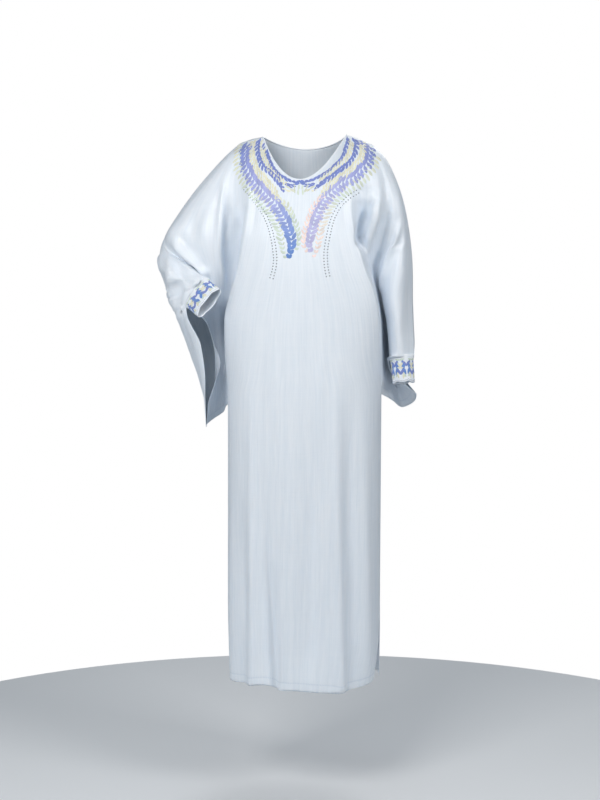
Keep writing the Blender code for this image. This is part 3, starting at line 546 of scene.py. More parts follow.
FOLDS = {
    "front": (
        # where, path of (x, z), width, height, fade_in, fade_out
        # the skirt
        (on_body, ((-0.113, -0.60), (-0.110, -0.94), (-0.107, -1.14), (-0.105, -1.36)),
         0.012, 0.0070, 0.5, 0.01),
        (on_body, ((-0.135, -0.90), (-0.137, -1.14), (-0.140, -1.36)), 0.016, -0.0080, 0.5, 0.01),
        (on_body, ((-0.088, -0.78), (-0.075, -1.04), (-0.062, -1.18), (-0.050, -1.36)),
         0.015, -0.0120, 0.6, 0.01),
        (on_body, ((-0.050, -1.12), (-0.040, -1.23), (-0.034, -1.36)), 0.006, 0.0030, 0.5, 0.01),
        (on_body, ((-0.016, -0.70), (-0.012, -1.00), (-0.010, -1.36)), 0.016, 0.0030, 0.6, 0.01),
        (on_body, ((0.030, -0.70), (0.034, -0.95), (0.032, -1.33)), 0.017, -0.0080, 0.5, 0.10),
        (on_body, ((0.092, -0.50), (0.096, -0.89), (0.101, -1.08), (0.108, -1.36)), 0.014, 0.0100, 0.5, 0.01),
        (on_body, ((0.128, -0.60), (0.131, -0.95), (0.138, -1.36)), 0.018, -0.0105, 0.5, 0.01),
        (on_body, ((0.160, -0.70), (0.163, -1.00), (0.168, -1.36)), 0.010, 0.0032, 0.6, 0.01),
        (on_body, ((-0.168, -0.80), (-0.170, -1.36)), 0.012, 0.0030, 0.5, 0.01),
        (on_body, ((-0.050, -0.42), (-0.048, -0.62), (-0.045, -0.80)), 0.012, 0.0020, 0.5, 0.5),
        (on_body, ((0.060, -0.42), (0.061, -0.62), (0.064, -0.84)), 0.012, 0.0018, 0.5, 0.5),
        (on_body, ((0.005, -0.44), (0.006, -0.62), (0.010, -0.80)), 0.014, 0.0018, 0.5, 0.5),
        # the soft drag lines from the bust to the hollows beside it
        (on_body, ((-0.112, -0.165), (-0.128, -0.215), (-0.137, -0.290), (-0.140, -0.380)),
         0.016, 0.0030, 0.4, 0.5),
        # the bent arm's wing: the long fold that hangs from the shoulder, and the hollow beside it
        (on_bent_wing, ((-0.190, -0.105), (-0.199, -0.203), (-0.204, -0.290), (-0.199, -0.385)),
         0.0060, 0.0085, 0.35, 0.15),
        (on_bent_wing, ((-0.180, -0.150), (-0.183, -0.230), (-0.185, -0.320), (-0.182, -0.400)),
         0.010, -0.0105, 0.35, 0.25),
        (on_bent_wing, ((-0.225, -0.170), (-0.236, -0.230), (-0.238, -0.320)), 0.016, 0.0030, 0.4, 0.4),
        (on_bent_wing, ((-0.262, -0.190), (-0.272, -0.240), (-0.262, -0.300)), 0.014, -0.0030, 0.4, 0.4),
        (on_bent_wing | on_body,
         ((-0.134, -0.180), (-0.153, -0.223), (-0.165, -0.271), (-0.168, -0.320), (-0.170, -0.370)),
         0.012, -0.0085, 0.3, 0.25),
        # the roll of the upper arm's cloth over the inside of the elbow
        (on_bent_wing, ((-0.327, -0.254), (-0.294, -0.292), (-0.257, -0.325), (-0.229, -0.352)),
         0.009, 0.0105, 0.2, 0.12),
        (on_bent_wing, ((-0.318, -0.238), (-0.280, -0.276), (-0.245, -0.310)), 0.012, -0.0035, 0.3, 0.4),
        # the hanging arm's armhole
        (on_hanging_wing, ((0.130, -0.176), (0.156, -0.164), (0.186, -0.172)), 0.012, 0.0035, 0.3, 0.3),
        (on_hanging_wing, ((0.188, -0.168), (0.184, -0.209), (0.167, -0.256), (0.154, -0.318)),
         0.0065, 0.0085, 0.2, 0.3),
        (on_hanging_wing, ((0.160, -0.188), (0.152, -0.236), (0.146, -0.292)), 0.0095, -0.0100, 0.25, 0.3),
        (on_hanging_wing, ((0.214, -0.165), (0.209, -0.220), (0.190, -0.290), (0.172, -0.345)),
         0.010, -0.0070, 0.3, 0.3),
        (on_hanging_wing, ((0.240, -0.215), (0.229, -0.260), (0.209, -0.318), (0.188, -0.390)),
         0.007, 0.0075, 0.25, 0.2),
        (on_hanging_wing, ((0.252, -0.280), (0.245, -0.380), (0.238, -0.500)), 0.010, 0.0025, 0.3, 0.3),
    ),
    "back": (
        # the skirt
        (on_body, ((-0.128, -0.62), (-0.130, -1.00), (-0.134, -1.36)), 0.014, 0.0050, 0.5, 0.01),
        (on_body, ((-0.088, -0.70), (-0.086, -1.05), (-0.080, -1.36)), 0.016, -0.0080, 0.5, 0.01),
        (on_body, ((-0.040, -0.52), (-0.042, -0.95), (-0.038, -1.36)), 0.016, 0.0060, 0.5, 0.01),
        (on_body, ((0.012, -0.80), (0.014, -1.10), (0.010, -1.36)), 0.014, -0.0060, 0.6, 0.01),
        (on_body, ((0.058, -0.58), (0.060, -1.00), (0.068, -1.36)), 0.018, 0.0065, 0.5, 0.01),
        (on_body, ((0.104, -0.72), (0.106, -1.05), (0.110, -1.36)), 0.013, -0.0065, 0.5, 0.01),
        (on_body, ((0.146, -0.66), (0.147, -1.00), (0.150, -1.36)), 0.012, 0.0040, 0.5, 0.01),
        # between the shoulders
        (on_body, ((-0.085, -0.12), (-0.078, -0.26), (-0.072, -0.42)), 0.014, 0.0030, 0.4, 0.5),
        (on_body, ((0.075, -0.13), (0.070, -0.28), (0.066, -0.46)), 0.014, 0.0030, 0.4, 0.5),
        (on_body, ((-0.008, -0.10), (-0.006, -0.30), (-0.008, -0.50)), 0.016, -0.0030, 0.4, 0.5),
        # the bent arm's wing
        (on_bent_wing, ((-0.212, -0.13), (-0.246, -0.26), (-0.252, -0.42), (-0.240, -0.60)),
         0.010, 0.0050, 0.3, 0.3),
        (on_bent_wing, ((-0.262, -0.16), (-0.300, -0.28), (-0.298, -0.44), (-0.262, -0.62)),
         0.012, -0.0050, 0.3, 0.3),
        (on_bent_wing, ((-0.300, -0.18), (-0.336, -0.27), (-0.330, -0.40), (-0.284, -0.60)),
         0.010, 0.0045, 0.3, 0.3),
        (on_bent_wing, ((-0.196, -0.20), (-0.214, -0.34), (-0.222, -0.56)), 0.010, -0.0040, 0.3, 0.3),
        # the hanging arm's wing
        (on_hanging_wing, ((0.200, -0.12), (0.224, -0.24), (0.236, -0.40), (0.242, -0.56)),
         0.009, 0.0045, 0.3, 0.3),
        (on_hanging_wing, ((0.176, -0.14), (0.202, -0.28), (0.214, -0.46)), 0.009, -0.0040, 0.3, 0.3),
        (on_hanging_wing, ((0.228, -0.15), (0.250, -0.26), (0.258, -0.42)), 0.008, -0.0030, 0.3, 0.3),
        # round the bent forearm
        (round_forearm, ((-0.335, -0.300), (-0.318, -0.345), (-0.325, -0.385), (-0.322, -0.440)),
         0.007, 0.0085, 0.2, 0.3),
        (round_forearm, ((-0.352, -0.330), (-0.340, -0.400), (-0.318, -0.470), (-0.290, -0.560)),
         0.010, -0.0085, 0.25, 0.4),
        (round_forearm, ((-0.300, -0.335), (-0.280, -0.360), (-0.262, -0.380)), 0.007, -0.0065, 0.3, 0.3),
    ),
}

# How far the hem's edge rises above its level, by the place across the panel.
HEM_RISE = {
    "front": ((-0.19, 0.004), (-0.165, 0.006), (-0.14, 0.008), (-0.10, 0.014), (-0.072, 0.017),
              (-0.055, 0.013), (-0.040, 0.007), (0.0, 0.008), (0.05, 0.004), (0.10, 0.0), (0.15, 0.003),
              (0.19, 0.010)),
    "back": ((-0.19, 0.004), (-0.13, 0.002), (-0.08, 0.012), (-0.03, 0.003), (0.02, 0.010), (0.07, 0.0),
             (0.12, 0.009), (0.19, 0.003)),
}

FOLD_STRENGTH = 1.55      # by which every fold's height is multiplied
GATHERS = 5.5             # small waves along each cuff's half of the wing's edge
GATHER_HEIGHT = 0.0011


def folded(panel):
    """The panel's form with its folds, gathers and uneven hem."""
    facing = -1 if panel == "front" else 1
    form = panel_form(panel)
    normal = outward(form, facing)
    rise = np.zeros(form.shape[:2])
    for where, path, width, height, fade_in, fade_out in FOLDS[panel]:
        rise += soft_fold(form, where, path, width, height, fade_in, fade_out)
    # many small gathers where the wing's edge goes into its cuff
    for side, first in CUFF_LEVELS.items():
        wing = WING_COLUMNS[side]
        inner = column_number if side == BENT else COLUMNS - column_number
        turn = np.clip(level_number - first, 0.0, 1.0)
        near = np.exp(-(inner / (wing * 0.10)) ** 2) * np.sin(math.pi * turn) ** 0.5
        waves = np.sin(turn * 2 * math.pi * GATHERS + 0.6 * np.sin(turn * 9.0))
        rise += np.where(inner < wing * 0.4, near * waves * GATHER_HEIGHT, 0.0)
    # the joins with the other panel stay where they are
    join = np.minimum(column_number, COLUMNS - column_number) / 3.0
    body_edge = np.minimum(abs(column_number - FIRST_BODY), abs(column_number - LAST_BODY)) / 5.0
    below = np.where(level_number > WING_LEVEL - 0.4, np.clip(body_edge, 0.0, 1.0), 1.0)
    above = np.clip(level_number / 0.5, 0.0, 1.0)
    hem_join = np.where(on_body, 1.0, np.clip((WING_LEVEL - level_number) / 0.5, 0.0, 1.0))
    rise *= np.clip(join, 0.0, 1.0) * below * above * hem_join * FOLD_STRENGTH
    form = form + normal * rise[..., None]
    places, rises = zip(*HEM_RISE[panel])
    lift = np.interp(form[ROWS, :, 0], places, rises)
    share = np.clip((level_number - 12.0) / 1.0, 0.0, 1.0) ** 2
    form[:, :, 2] += np.where(on_body, np.nan_to_num(lift[None, :] * share), 0.0)
    return form


def cloth_measure(form):
    """How far along the cut each column and each row lies, in metres."""
    step_across = np.nanmean(np.linalg.norm(np.diff(form, axis=1), axis=2), axis=0)
    step_down = np.nanmean(np.linalg.norm(np.diff(form, axis=0), axis=2)[:, FIRST_BODY:LAST_BODY], axis=1)
    return np.concatenate(([0.0], np.cumsum(step_across))), np.concatenate(([0.0], np.cumsum(step_down)))


def hem_distance(form):
    """How far each point is above the nearest hem: the skirt's, or the wing's."""
    down = np.nan_to_num(np.linalg.norm(np.diff(form, axis=0), axis=2))
    total = np.cumsum(down[::-1], axis=0)[::-1]
    return np.concatenate((total, np.zeros((1, COLUMNS + 1))))


def panel_sheet(panel, form):
    """A flat grid of satin, laid over the panel's form, with the wings cut off at their hems."""
    cut = bmesh.new()
    bmesh.ops.create_grid(cut, x_segments=COLUMNS, y_segments=ROWS, size=0.5)
    width, length = cloth_measure(form)
    hems = hem_distance(form)
    uv = cut.loops.layers.uv.new("cut")
    above_hem = cut.verts.layers.float.new("above_hem")
    places = {}
    spare = []
    for vert in cut.verts:
        column = round((vert.co.x + 0.5) * COLUMNS)
        row = round((0.5 - vert.co.y) * ROWS)
        places[vert] = (column, row)
        vert[above_hem] = hems[row, column]
        if np.isnan(form[row, column, 0]):
            spare.append(vert)
        else:
            vert.co = form[row, column]
    for face in cut.faces:
        for loop in face.loops:
            column, row = places[loop.vert]
            loop[uv].uv = (width[column], -length[row])
    bmesh.ops.delete(cut, geom=spare, context="VERTS")
    cut.normal_update()
    chest = [face for face in cut.faces if abs(face.calc_center_median().x) < 0.03]
    turned = sum(face.normal.y for face in chest)
    if (turned > 0) == (panel == "front"):
        bmesh.ops.reverse_faces(cut, faces=cut.faces)
    return cut


def cloth_object(name, cut, thickness):
    """The finished piece: the sheet, shaded smooth, with the satin's own thickness."""
    mesh = bpy.data.meshes.new(name)
    cut.to_mesh(mesh)
    cut.free()
    mesh.shade_smooth()
    piece = bpy.data.objects.new(name, mesh)
    bpy.context.collection.objects.link(piece)
    wall = piece.modifiers.new("satin thickness", "SOLIDIFY")
    wall.thickness = thickness
    wall.offset = 1.0
    return piece


def shader_node(tree, kind, inputs=(), **settings):
    """A new node with its settings, and inputs that are given a value or linked from an output."""
    node = tree.nodes.new(kind)
    for setting, value in settings.items():
        setattr(node, setting, value)
    for socket, value in dict(inputs).items():
        if isinstance(value, bpy.types.NodeSocket):
            tree.links.new(value, node.inputs[socket])
        else:
            node.inputs[socket].default_value = value
    return node


def math_node(tree, operation, *terms):
    """The result of a Math node on its terms."""
    return shader_node(tree, "ShaderNodeMath", dict(enumerate(terms)), operation=operation).outputs[0]


def weave_group():
    """Shader group: the crinkled weave of satin crepe, as streaks down the cut and faint ones across."""
    group = bpy.data.node_groups.new("crinkled weave", "ShaderNodeTree")
    group.interface.new_socket("Cut", in_out="INPUT", socket_type="NodeSocketVector")
    group.interface.new_socket("Streak", in_out="OUTPUT", socket_type="NodeSocketFloat")
    group.interface.new_socket("Height", in_out="OUTPUT", socket_type="NodeSocketFloat")
    enter = group.nodes.new("NodeGroupInput")
    height = None
    # name, stretch across, stretch down, detail, share of the height
    for label, scale_x, scale_y, detail, share in (
        ("broad streaks", 130.0, 5.0, 3.0, 0.9),
        ("fine streaks", 420.0, 14.0, 2.0, 0.55),
        ("faint cross streaks", 10.0, 300.0, 2.0, 0.20),
    ):
        stretch = {"Vector": enter.outputs["Cut"], "Scale": (scale_x, scale_y, 1.0)}
        mapping = shader_node(group, "ShaderNodeMapping", stretch, label=label)
        streaks = {"Vector": mapping.outputs["Vector"], "Scale": 1.0, "Detail": detail, "Roughness": 0.55}
        noise = shader_node(group, "ShaderNodeTexNoise", streaks)
        part = math_node(group, "MULTIPLY", noise.outputs["Fac"], share)
        height = part if height is None else math_node(group, "ADD", height, part)
    limits = {"Value": height, "From Min": 0.58, "From Max": 1.08}
    spread = shader_node(group, "ShaderNodeMapRange", limits)
    shader_node(group, "NodeGroupOutput", {"Streak": spread.outputs["Result"], "Height": height})
    return group


crinkled_weave = weave_group()
STITCH_PITCH = 0.0034     # one stitch and one gap of the hem's topstitching
NO_HEM = 9.0              # a stitch line farther from the edge than any cloth reaches


def satin(name, light, dark, roughness, bump, hem_line):
    """Ice-blue satin crepe: two close blues by the weave's streaks, a soft sheen, and the hem's line
    of topstitching at hem_line metres above the edge."""
    material = bpy.data.materials.new(name)
    material.use_nodes = True
    tree = material.node_tree
    shader = tree.nodes["Principled BSDF"]
    shader.inputs["Specular IOR Level"].default_value = 0.55
    shader.inputs["Sheen Weight"].default_value = 0.15
    shader.inputs["Sheen Roughness"].default_value = 0.35
    shader.inputs["Sheen Tint"].default_value = (0.90, 0.95, 1.0, 1.0)
    shader.inputs["Subsurface Weight"].default_value = 0.33
    shader.inputs["Subsurface Scale"].default_value = 0.004
    shader.inputs["Subsurface Radius"].default_value = (0.8, 0.95, 1.1)
    cut_place = shader_node(tree, "ShaderNodeUVMap", uv_map="cut").outputs["UV"]
    weave = shader_node(tree, "ShaderNodeGroup", node_tree=crinkled_weave)
    tree.links.new(cut_place, weave.inputs["Cut"])
    streak = weave.outputs["Streak"]
    blues = {"Factor": streak, "A": (*dark, 1.0), "B": (*light, 1.0)}
    colour = shader_node(tree, "ShaderNodeMix", blues, data_type="RGBA")
    ends = {"Value": streak, "To Min": roughness + 0.07, "To Max": roughness - 0.05}
    rough = shader_node(tree, "ShaderNodeMapRange", ends)
    tree.links.new(rough.outputs["Result"], shader.inputs["Roughness"])
    # the stitch line: dashes along the cut at one height above the hem
    above = shader_node(tree, "ShaderNodeAttribute", attribute_name="above_hem")
    off_line = math_node(tree, "ABSOLUTE", math_node(tree, "SUBTRACT", above.outputs["Fac"], hem_line))
    depth = {"Value": off_line, "From Min": 0.0, "From Max": 0.0030, "To Min": 1.0, "To Max": 0.0}
    groove = shader_node(tree, "ShaderNodeMapRange", depth, interpolation_type="SMOOTHSTEP")
    along = shader_node(tree, "ShaderNodeSeparateXYZ", {0: cut_place}).outputs["X"]
    stitch = math_node(tree, "SINE", math_node(tree, "MULTIPLY", along, 2 * math.pi / STITCH_PITCH))
    gaps = {"Value": stitch, "From Min": -0.2, "From Max": 0.3, "To Min": 0.35, "To Max": 1.0}
    dash = shader_node(tree, "ShaderNodeMapRange", gaps)
    line = math_node(tree, "MULTIPLY", groove.outputs["Result"], dash.outputs["Result"])
    stitch_blue = (dark[0] * 0.80, dark[1] * 0.84, dark[2] * 0.90, 1.0)
    share = math_node(tree, "MULTIPLY", line, 0.55)
    sewing = {"Factor": share, "A": colour.outputs["Result"], "B": stitch_blue}
    sewn = shader_node(tree, "ShaderNodeMix", sewing, data_type="RGBA")
    tree.links.new(sewn.outputs["Result"], shader.inputs["Base Color"])
    height = math_node(tree, "MULTIPLY_ADD", line, -0.6, weave.outputs["Height"])
    relief = shader_node(tree, "ShaderNodeBump", {"Strength": bump, "Distance": 0.0016, "Height": height})
    tree.links.new(relief.outputs["Normal"], shader.inputs["Normal"])
    return material


HEM_STITCHES = 0.019      # the topstitching's height above the hem's edge
ice_blue_satin = satin(
    "ice blue satin", (0.82, 0.88, 0.955), (0.73, 0.805, 0.895), 0.44, 0.45, HEM_STITCHES
)

forms = {panel: folded(panel) for panel in ("front", "back")}
robe = {}
for panel in ("front", "back"):
    cut = panel_sheet(panel, forms[panel])
    robe[panel] = cloth_object(panel + "_satin", cut, CLOTH)
    robe[panel].data.materials.append(ice_blue_satin)
    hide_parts(panel)
    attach(robe[panel], "root")

# ---------------------------------------------------------------------------------------------
# Neck piping: a narrow bias strip of the same satin, folded over the neckline's raw edge and sewn
# down, so it shows as a thin round pale rim all the way round the neck.

PIPING_RADIUS = 0.0017
PIPING_SIDES = 8
PIPING_LIFT = 0.0006      # of its middle above the cloth's edge
PIPING_STEP = (0.0014, 0.004)     # one face's width round the rim and along it, on the cut
rim = []
for panel, sign in (("front", 1), ("back", -1)):
    for step in range(2 * NECK_COLUMNS):
        column = FIRST_BODY + SHOULDER_COLUMNS + (step if sign > 0 else 2 * NECK_COLUMNS - step)
        point = Vector(forms[panel][0, column])
        below = Vector(forms[panel][3, column])
        rim.append(point + (point - below).normalized() * PIPING_LIFT)
piping_bm = bmesh.new()
rings = []
for index, point in enumerate(rim):
    along = (rim[(index + 1) % len(rim)] - rim[index - 1]).normalized()
    first_way = (Vector((0, 0, 1)) - along.z * along).normalized()
    second_way = along.cross(first_way)
    turns = [2 * math.pi * turn / PIPING_SIDES for turn in range(PIPING_SIDES)]
    rings.append([
        piping_bm.verts.new(point + (first_way * math.cos(a) + second_way * math.sin(a)) * PIPING_RADIUS)
        for a in turns
    ])
piping_uv = piping_bm.loops.layers.uv.new("cut")
for index, ring in enumerate(rings):
    after = rings[(index + 1) % len(rings)]
    for turn in range(PIPING_SIDES):
        corner = (turn + 1) % PIPING_SIDES
        face = piping_bm.faces.new((ring[turn], ring[corner], after[corner], after[turn]))
        for loop, (u, v) in zip(face.loops, ((0, 0), (0, 1), (1, 1), (1, 0))):
            loop[piping_uv].uv = ((turn + v) * PIPING_STEP[0], (index + u) * PIPING_STEP[1])
bmesh.ops.recalc_face_normals(piping_bm, faces=piping_bm.faces)
piping_mesh = bpy.data.meshes.new("neck_binding")
piping_bm.to_mesh(piping_mesh)
piping_bm.free()
piping_mesh.shade_smooth()
neck_binding = bpy.data.objects.new("neck_binding", piping_mesh)
bpy.context.collection.objects.link(neck_binding)
pale_satin = satin("pale satin binding", (0.88, 0.91, 0.96), (0.80, 0.85, 0.92), 0.42, 0.35, NO_HEM)
piping_mesh.materials.append(pale_satin)
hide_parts("neck_piping")
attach(neck_binding, "root")

# ---------------------------------------------------------------------------------------------
# Cuffs: short oval bands that the wings' side edges are gathered into. They are satin, stiffened
# by close embroidery, with their wrist edge cut and whipped in small scallops.

CUFF_ROUND = 0.19
CUFF_LENGTH = 0.061
CUFF_WALL = 0.0010
IN_SLEEVE = 0.12          # the share of its length that a cuff reaches up inside the sleeve
CUFF_COLUMNS = 96
CUFF_ROWS = 18
SCALLOPS = 6
SCALLOP_DEPTH = 0.06
SLEEVE_INSET = -0.0012    # of the band from the oval at the sleeve, and at the wrist
WRIST_INSET = -0.0030


def cuff_surface(side, turn, length, proud=0.0):
    """A point of a finished cuff, its scalloped wrist edge at length 1."""
    scallop = SCALLOP_DEPTH * abs(math.sin(math.pi * SCALLOPS * turn))
    reach = length * (1.0 + scallop) if length > 0 else length
    inset = SLEEVE_INSET + (WRIST_INSET - SLEEVE_INSET) * min(max(length, 0.0) * 4, 1.0)
    wave = 0.0007 * math.sin(2 * math.pi * turn * 7) * (1 - max(length, 0.0)) ** 2
    return cuff_point(side, turn, reach, inset + wave + proud)


cuff_satin = satin("cuff satin", (0.86, 0.90, 0.95), (0.78, 0.83, 0.90), 0.46, 0.45, NO_HEM)
cuffs = {}
for side, node in ((BENT, "cuff_bent_arm"), (HANGING, "cuff_hanging_arm")):
    band = bmesh.new()
    bmesh.ops.create_grid(band, x_segments=CUFF_COLUMNS, y_segments=CUFF_ROWS, size=0.5)
    band_uv = band.loops.layers.uv.new("cut")
    flat_place = {vert: (vert.co.x + 0.5, 0.5 - vert.co.y) for vert in band.verts}
    for face in band.faces:
        for loop in face.loops:
            turn, length = flat_place[loop.vert]
            loop[band_uv].uv = (turn * CUFF_ROUND, length * CUFF_LENGTH)
    for vert, (turn, length) in flat_place.items():
        vert.co = cuff_surface(side, turn, length * (1 + IN_SLEEVE) - IN_SLEEVE)
    bmesh.ops.remove_doubles(band, verts=band.verts, dist=0.00005)
    bmesh.ops.recalc_face_normals(band, faces=band.faces)
    middle = Vector(CUFFS[side][0]).lerp(Vector(CUFFS[side][1]), 0.5)
    band.normal_update()
    if sum((face.calc_center_median() - middle).dot(face.normal) for face in band.faces) < 0:
        bmesh.ops.reverse_faces(band, faces=band.faces)
    cuffs[side] = cloth_object(node + "_band", band, CUFF_WALL)
    cuffs[side].data.materials.append(cuff_satin)
    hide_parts(node)
    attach(cuffs[side], "root")

# ---------------------------------------------------------------------------------------------
# Embroidery: dense machine satin stitch in periwinkle, cornflower, lavender, cream, sage and pale
# pink. Feathers of small curved blades run from both shoulders round the neck and down the chest,
# and a short vine of leaves goes round each cuff. Every blade is a low padded patch of thread.

PERIWINKLE = (0.185, 0.245, 0.600)
CORNFLOWER = (0.120, 0.260, 0.640)
LAVENDER = (0.430, 0.450, 0.760)
LILAC = (0.520, 0.500, 0.740)
CREAM = (0.800, 0.780, 0.600)
SAGE = (0.640, 0.730, 0.640)
PINK = (0.930, 0.760, 0.720)

chest = bmesh.new()
chest.from_mesh(robe["front"].data)
chest_tree = BVHTree.FromBMesh(chest)
chest.free()
NO_FARTHER_BACK = 0.012   # past the shoulder line no stitch is worked
LEAST_FACING = 0.28       # nor where the cloth turns away from the front more than this


def on_chest(x, z, height):
    """The place on the front panel's face behind a point seen from the front, and out by height."""
    found, normal, _, _ = chest_tree.ray_cast(Vector((x, -1.0, z)), Vector((0.0, 1.0, 0.0)))
    if found is None or found.y > NO_FARTHER_BACK or abs(normal.y) < LEAST_FACING:
        return None
    if normal.y > 0:
        normal = -normal
    return found + normal * (CLOTH + height)


LINE_STEPS = 160
LOOK_AHEAD = 0.004        # how far a line's direction is read over, each way


def line_reader(points):
    """Lengths along a drawn line of (x, z), for reading places at equal steps."""
    fine = []
    rows = [(index, *point) for index, point in enumerate(points)]
    for step in range(LINE_STEPS):
        fine.append(smooth(rows, step / (LINE_STEPS - 1) * (len(points) - 1)))
    fine = np.array(fine)
    run = np.concatenate(([0.0], np.cumsum(np.linalg.norm(np.diff(fine, axis=0), axis=1))))
    return fine, run


def read_line(fine, run, distance):
    """Place and direction at a distance along a drawn line."""
    x, z = np.interp(distance, run, fine[:, 0]), np.interp(distance, run, fine[:, 1])
    ahead = min(distance + LOOK_AHEAD, run[-1])
    behind = max(ahead - 2 * LOOK_AHEAD, 0.0)
    way = np.array([
        np.interp(ahead, run, fine[:, 0]) - np.interp(behind, run, fine[:, 0]),
        np.interp(ahead, run, fine[:, 1]) - np.interp(behind, run, fine[:, 1]),
    ])
    return np.array([x, z]), way / np.linalg.norm(way)


BLADE_COLUMNS = 4
BLADE_ROWS = 9
BLADE_PAD = 0.0007        # the height of a feather blade's middle
LEAF_PAD = 0.0006         # and of a cuff leaf's
BLADE_LIFT = 0.0001       # the height of its edge


def add_blade(work, place_on, root, way, length, width, bend, colour, pad):
    """One embroidered blade: a pointed curved leaf from its root along a way, padded in the middle."""
    side_way = np.array([-way[1], way[0]])
    grid = bmesh.ops.create_grid(work, x_segments=BLADE_COLUMNS, y_segments=BLADE_ROWS, size=0.5)
    uv = work.loops.layers.uv["stitch"]
    thread = work.verts.layers.float_color["thread"]
    flat_place = {}
    for vert in grid["verts"]:
        across_part, along_part = vert.co.x * 2, vert.co.y + 0.5
        flat_place[vert] = (across_part, along_part)
        half = width * 0.5 * math.sin(math.pi * min(along_part * 0.93 + 0.05, 1.0)) ** 0.75
        curve = bend * length * along_part ** 2
        point = root + way * length * along_part + side_way * (across_part * half + curve)
        height = BLADE_LIFT + pad * (1 - across_part ** 2) * min(1.0, 5 * along_part, 5 * (1 - along_part))
        found = place_on(point[0], point[1], height)
        if found is None:
            bmesh.ops.delete(work, geom=grid["verts"], context="VERTS")
            return False
        vert.co = found
        vert[thread] = (*colour, 1.0)
    faces = {face for vert in grid["verts"] for face in vert.link_faces}
    for face in faces:
        for loop in face.loops:
            across_part, along_part = flat_place[loop.vert]
            loop[uv].uv = (across_part * width * 0.5, along_part * length)
    return True


def mixed(first, second, part):
    """A thread colour between two."""
    return tuple(a + (b - a) * part for a, b in zip(first, second))


def stitch_work():
    """An empty piece of embroidery."""
    work = bmesh.new()
    work.loops.layers.uv.new("stitch")
    work.verts.layers.float_color.new("thread")
    return work


# The feathers' spines, as (x, z) seen from the front, from the shoulder down to the chest.
BENT_OUTER = (
    (-0.143, -0.014), (-0.141, -0.038), (-0.137, -0.066), (-0.128, -0.093), (-0.113, -0.118),
    (-0.091, -0.142), (-0.070, -0.163), (-0.051, -0.183), (-0.037, -0.206), (-0.025, -0.228),
    (-0.016, -0.251), (-0.011, -0.272), (-0.013, -0.294), (-0.020, -0.313),
)
BENT_MIDDLE = (
    (-0.114, -0.009), (-0.112, -0.033), (-0.103, -0.061), (-0.090, -0.085), (-0.071, -0.101),
    (-0.053, -0.120), (-0.038, -0.143),
)
BENT_INNER = (
    (-0.1005, -0.008), (-0.094, -0.034), (-0.082, -0.061), (-0.070, -0.085), (-0.052, -0.104),
    (-0.031, -0.118), (-0.011, -0.124), (0.000, -0.123),
)
BENT_CREAM_OUTER = (
    (-0.129, -0.011), (-0.126, -0.038), (-0.120, -0.066), (-0.107, -0.092), (-0.084, -0.119),
    (-0.063, -0.143), (-0.050, -0.163),
)
BENT_CREAM_INNER = (
    (-0.103, -0.009), (-0.100, -0.038), (-0.090, -0.066), (-0.075, -0.091), (-0.053, -0.112),
    (-0.033, -0.129),
)
BENT_SAGE_OUTER = (
    (-0.160, -0.017), (-0.157, -0.048), (-0.154, -0.075), (-0.144, -0.104), (-0.126, -0.131),
    (-0.106, -0.156), (-0.083, -0.180), (-0.065, -0.200), (-0.051, -0.223), (-0.041, -0.245),
    (-0.035, -0.270), (-0.031, -0.294), (-0.025, -0.313),
)
BENT_SAGE_INNER = (
    (-0.050, -0.168), (-0.029, -0.186), (-0.016, -0.206), (-0.005, -0.231), (0.003, -0.256),
    (0.005, -0.275), (-0.001, -0.294),
)
HANGING_OUTER = (
    (0.149, -0.020), (0.163, -0.034), (0.165, -0.055), (0.160, -0.080), (0.146, -0.098),
    (0.128, -0.116), (0.106, -0.127), (0.086, -0.145), (0.067, -0.165), (0.054, -0.187),
    (0.044, -0.212), (0.037, -0.236), (0.033, -0.261), (0.031, -0.282), (0.035, -0.299),
)
HANGING_MIDDLE = (
    (0.125, -0.013), (0.132, -0.033), (0.128, -0.061), (0.114, -0.082), (0.095, -0.097),
    (0.075, -0.115), (0.056, -0.127), (0.041, -0.139),
)
HANGING_INNER = (
    (0.110, -0.010), (0.107, -0.042), (0.098, -0.068), (0.080, -0.089), (0.059, -0.105),
    (0.035, -0.118), (0.013, -0.123), (0.001, -0.123),
)
HANGING_CREAM_OUTER = (
    (0.142, -0.017), (0.150, -0.044), (0.145, -0.070), (0.129, -0.090), (0.108, -0.109),
    (0.085, -0.125), (0.064, -0.145), (0.053, -0.165),
)
HANGING_CREAM_INNER = (
    (0.118, -0.021), (0.120, -0.044), (0.110, -0.068), (0.092, -0.087), (0.071, -0.103),
    (0.050, -0.119),
)
HANGING_PINK_OUTER = (
    (0.169, -0.029), (0.178, -0.051), (0.176, -0.078), (0.165, -0.100), (0.147, -0.123),
    (0.126, -0.138), (0.105, -0.155), (0.084, -0.173), (0.071, -0.195), (0.061, -0.222),
    (0.055, -0.246), (0.052, -0.271), (0.047, -0.295), (0.040, -0.311),
)
HANGING_PINK_INNER = (
    (0.053, -0.170), (0.040, -0.187), (0.030, -0.212), (0.023, -0.236), (0.019, -0.261),
    (0.019, -0.282), (0.026, -0.299),
)
ORNAMENT = ((-0.032, -0.145), (-0.016, -0.140), (0.001, -0.146), (0.019, -0.141), (0.037, -0.147))
SWIRL_BENT = ((-0.036, -0.130), (-0.020, -0.134), (-0.006, -0.128), (-0.001, -0.120))
SWIRL_HANGING = ((0.038, -0.130), (0.022, -0.134), (0.008, -0.128), (0.002, -0.120))

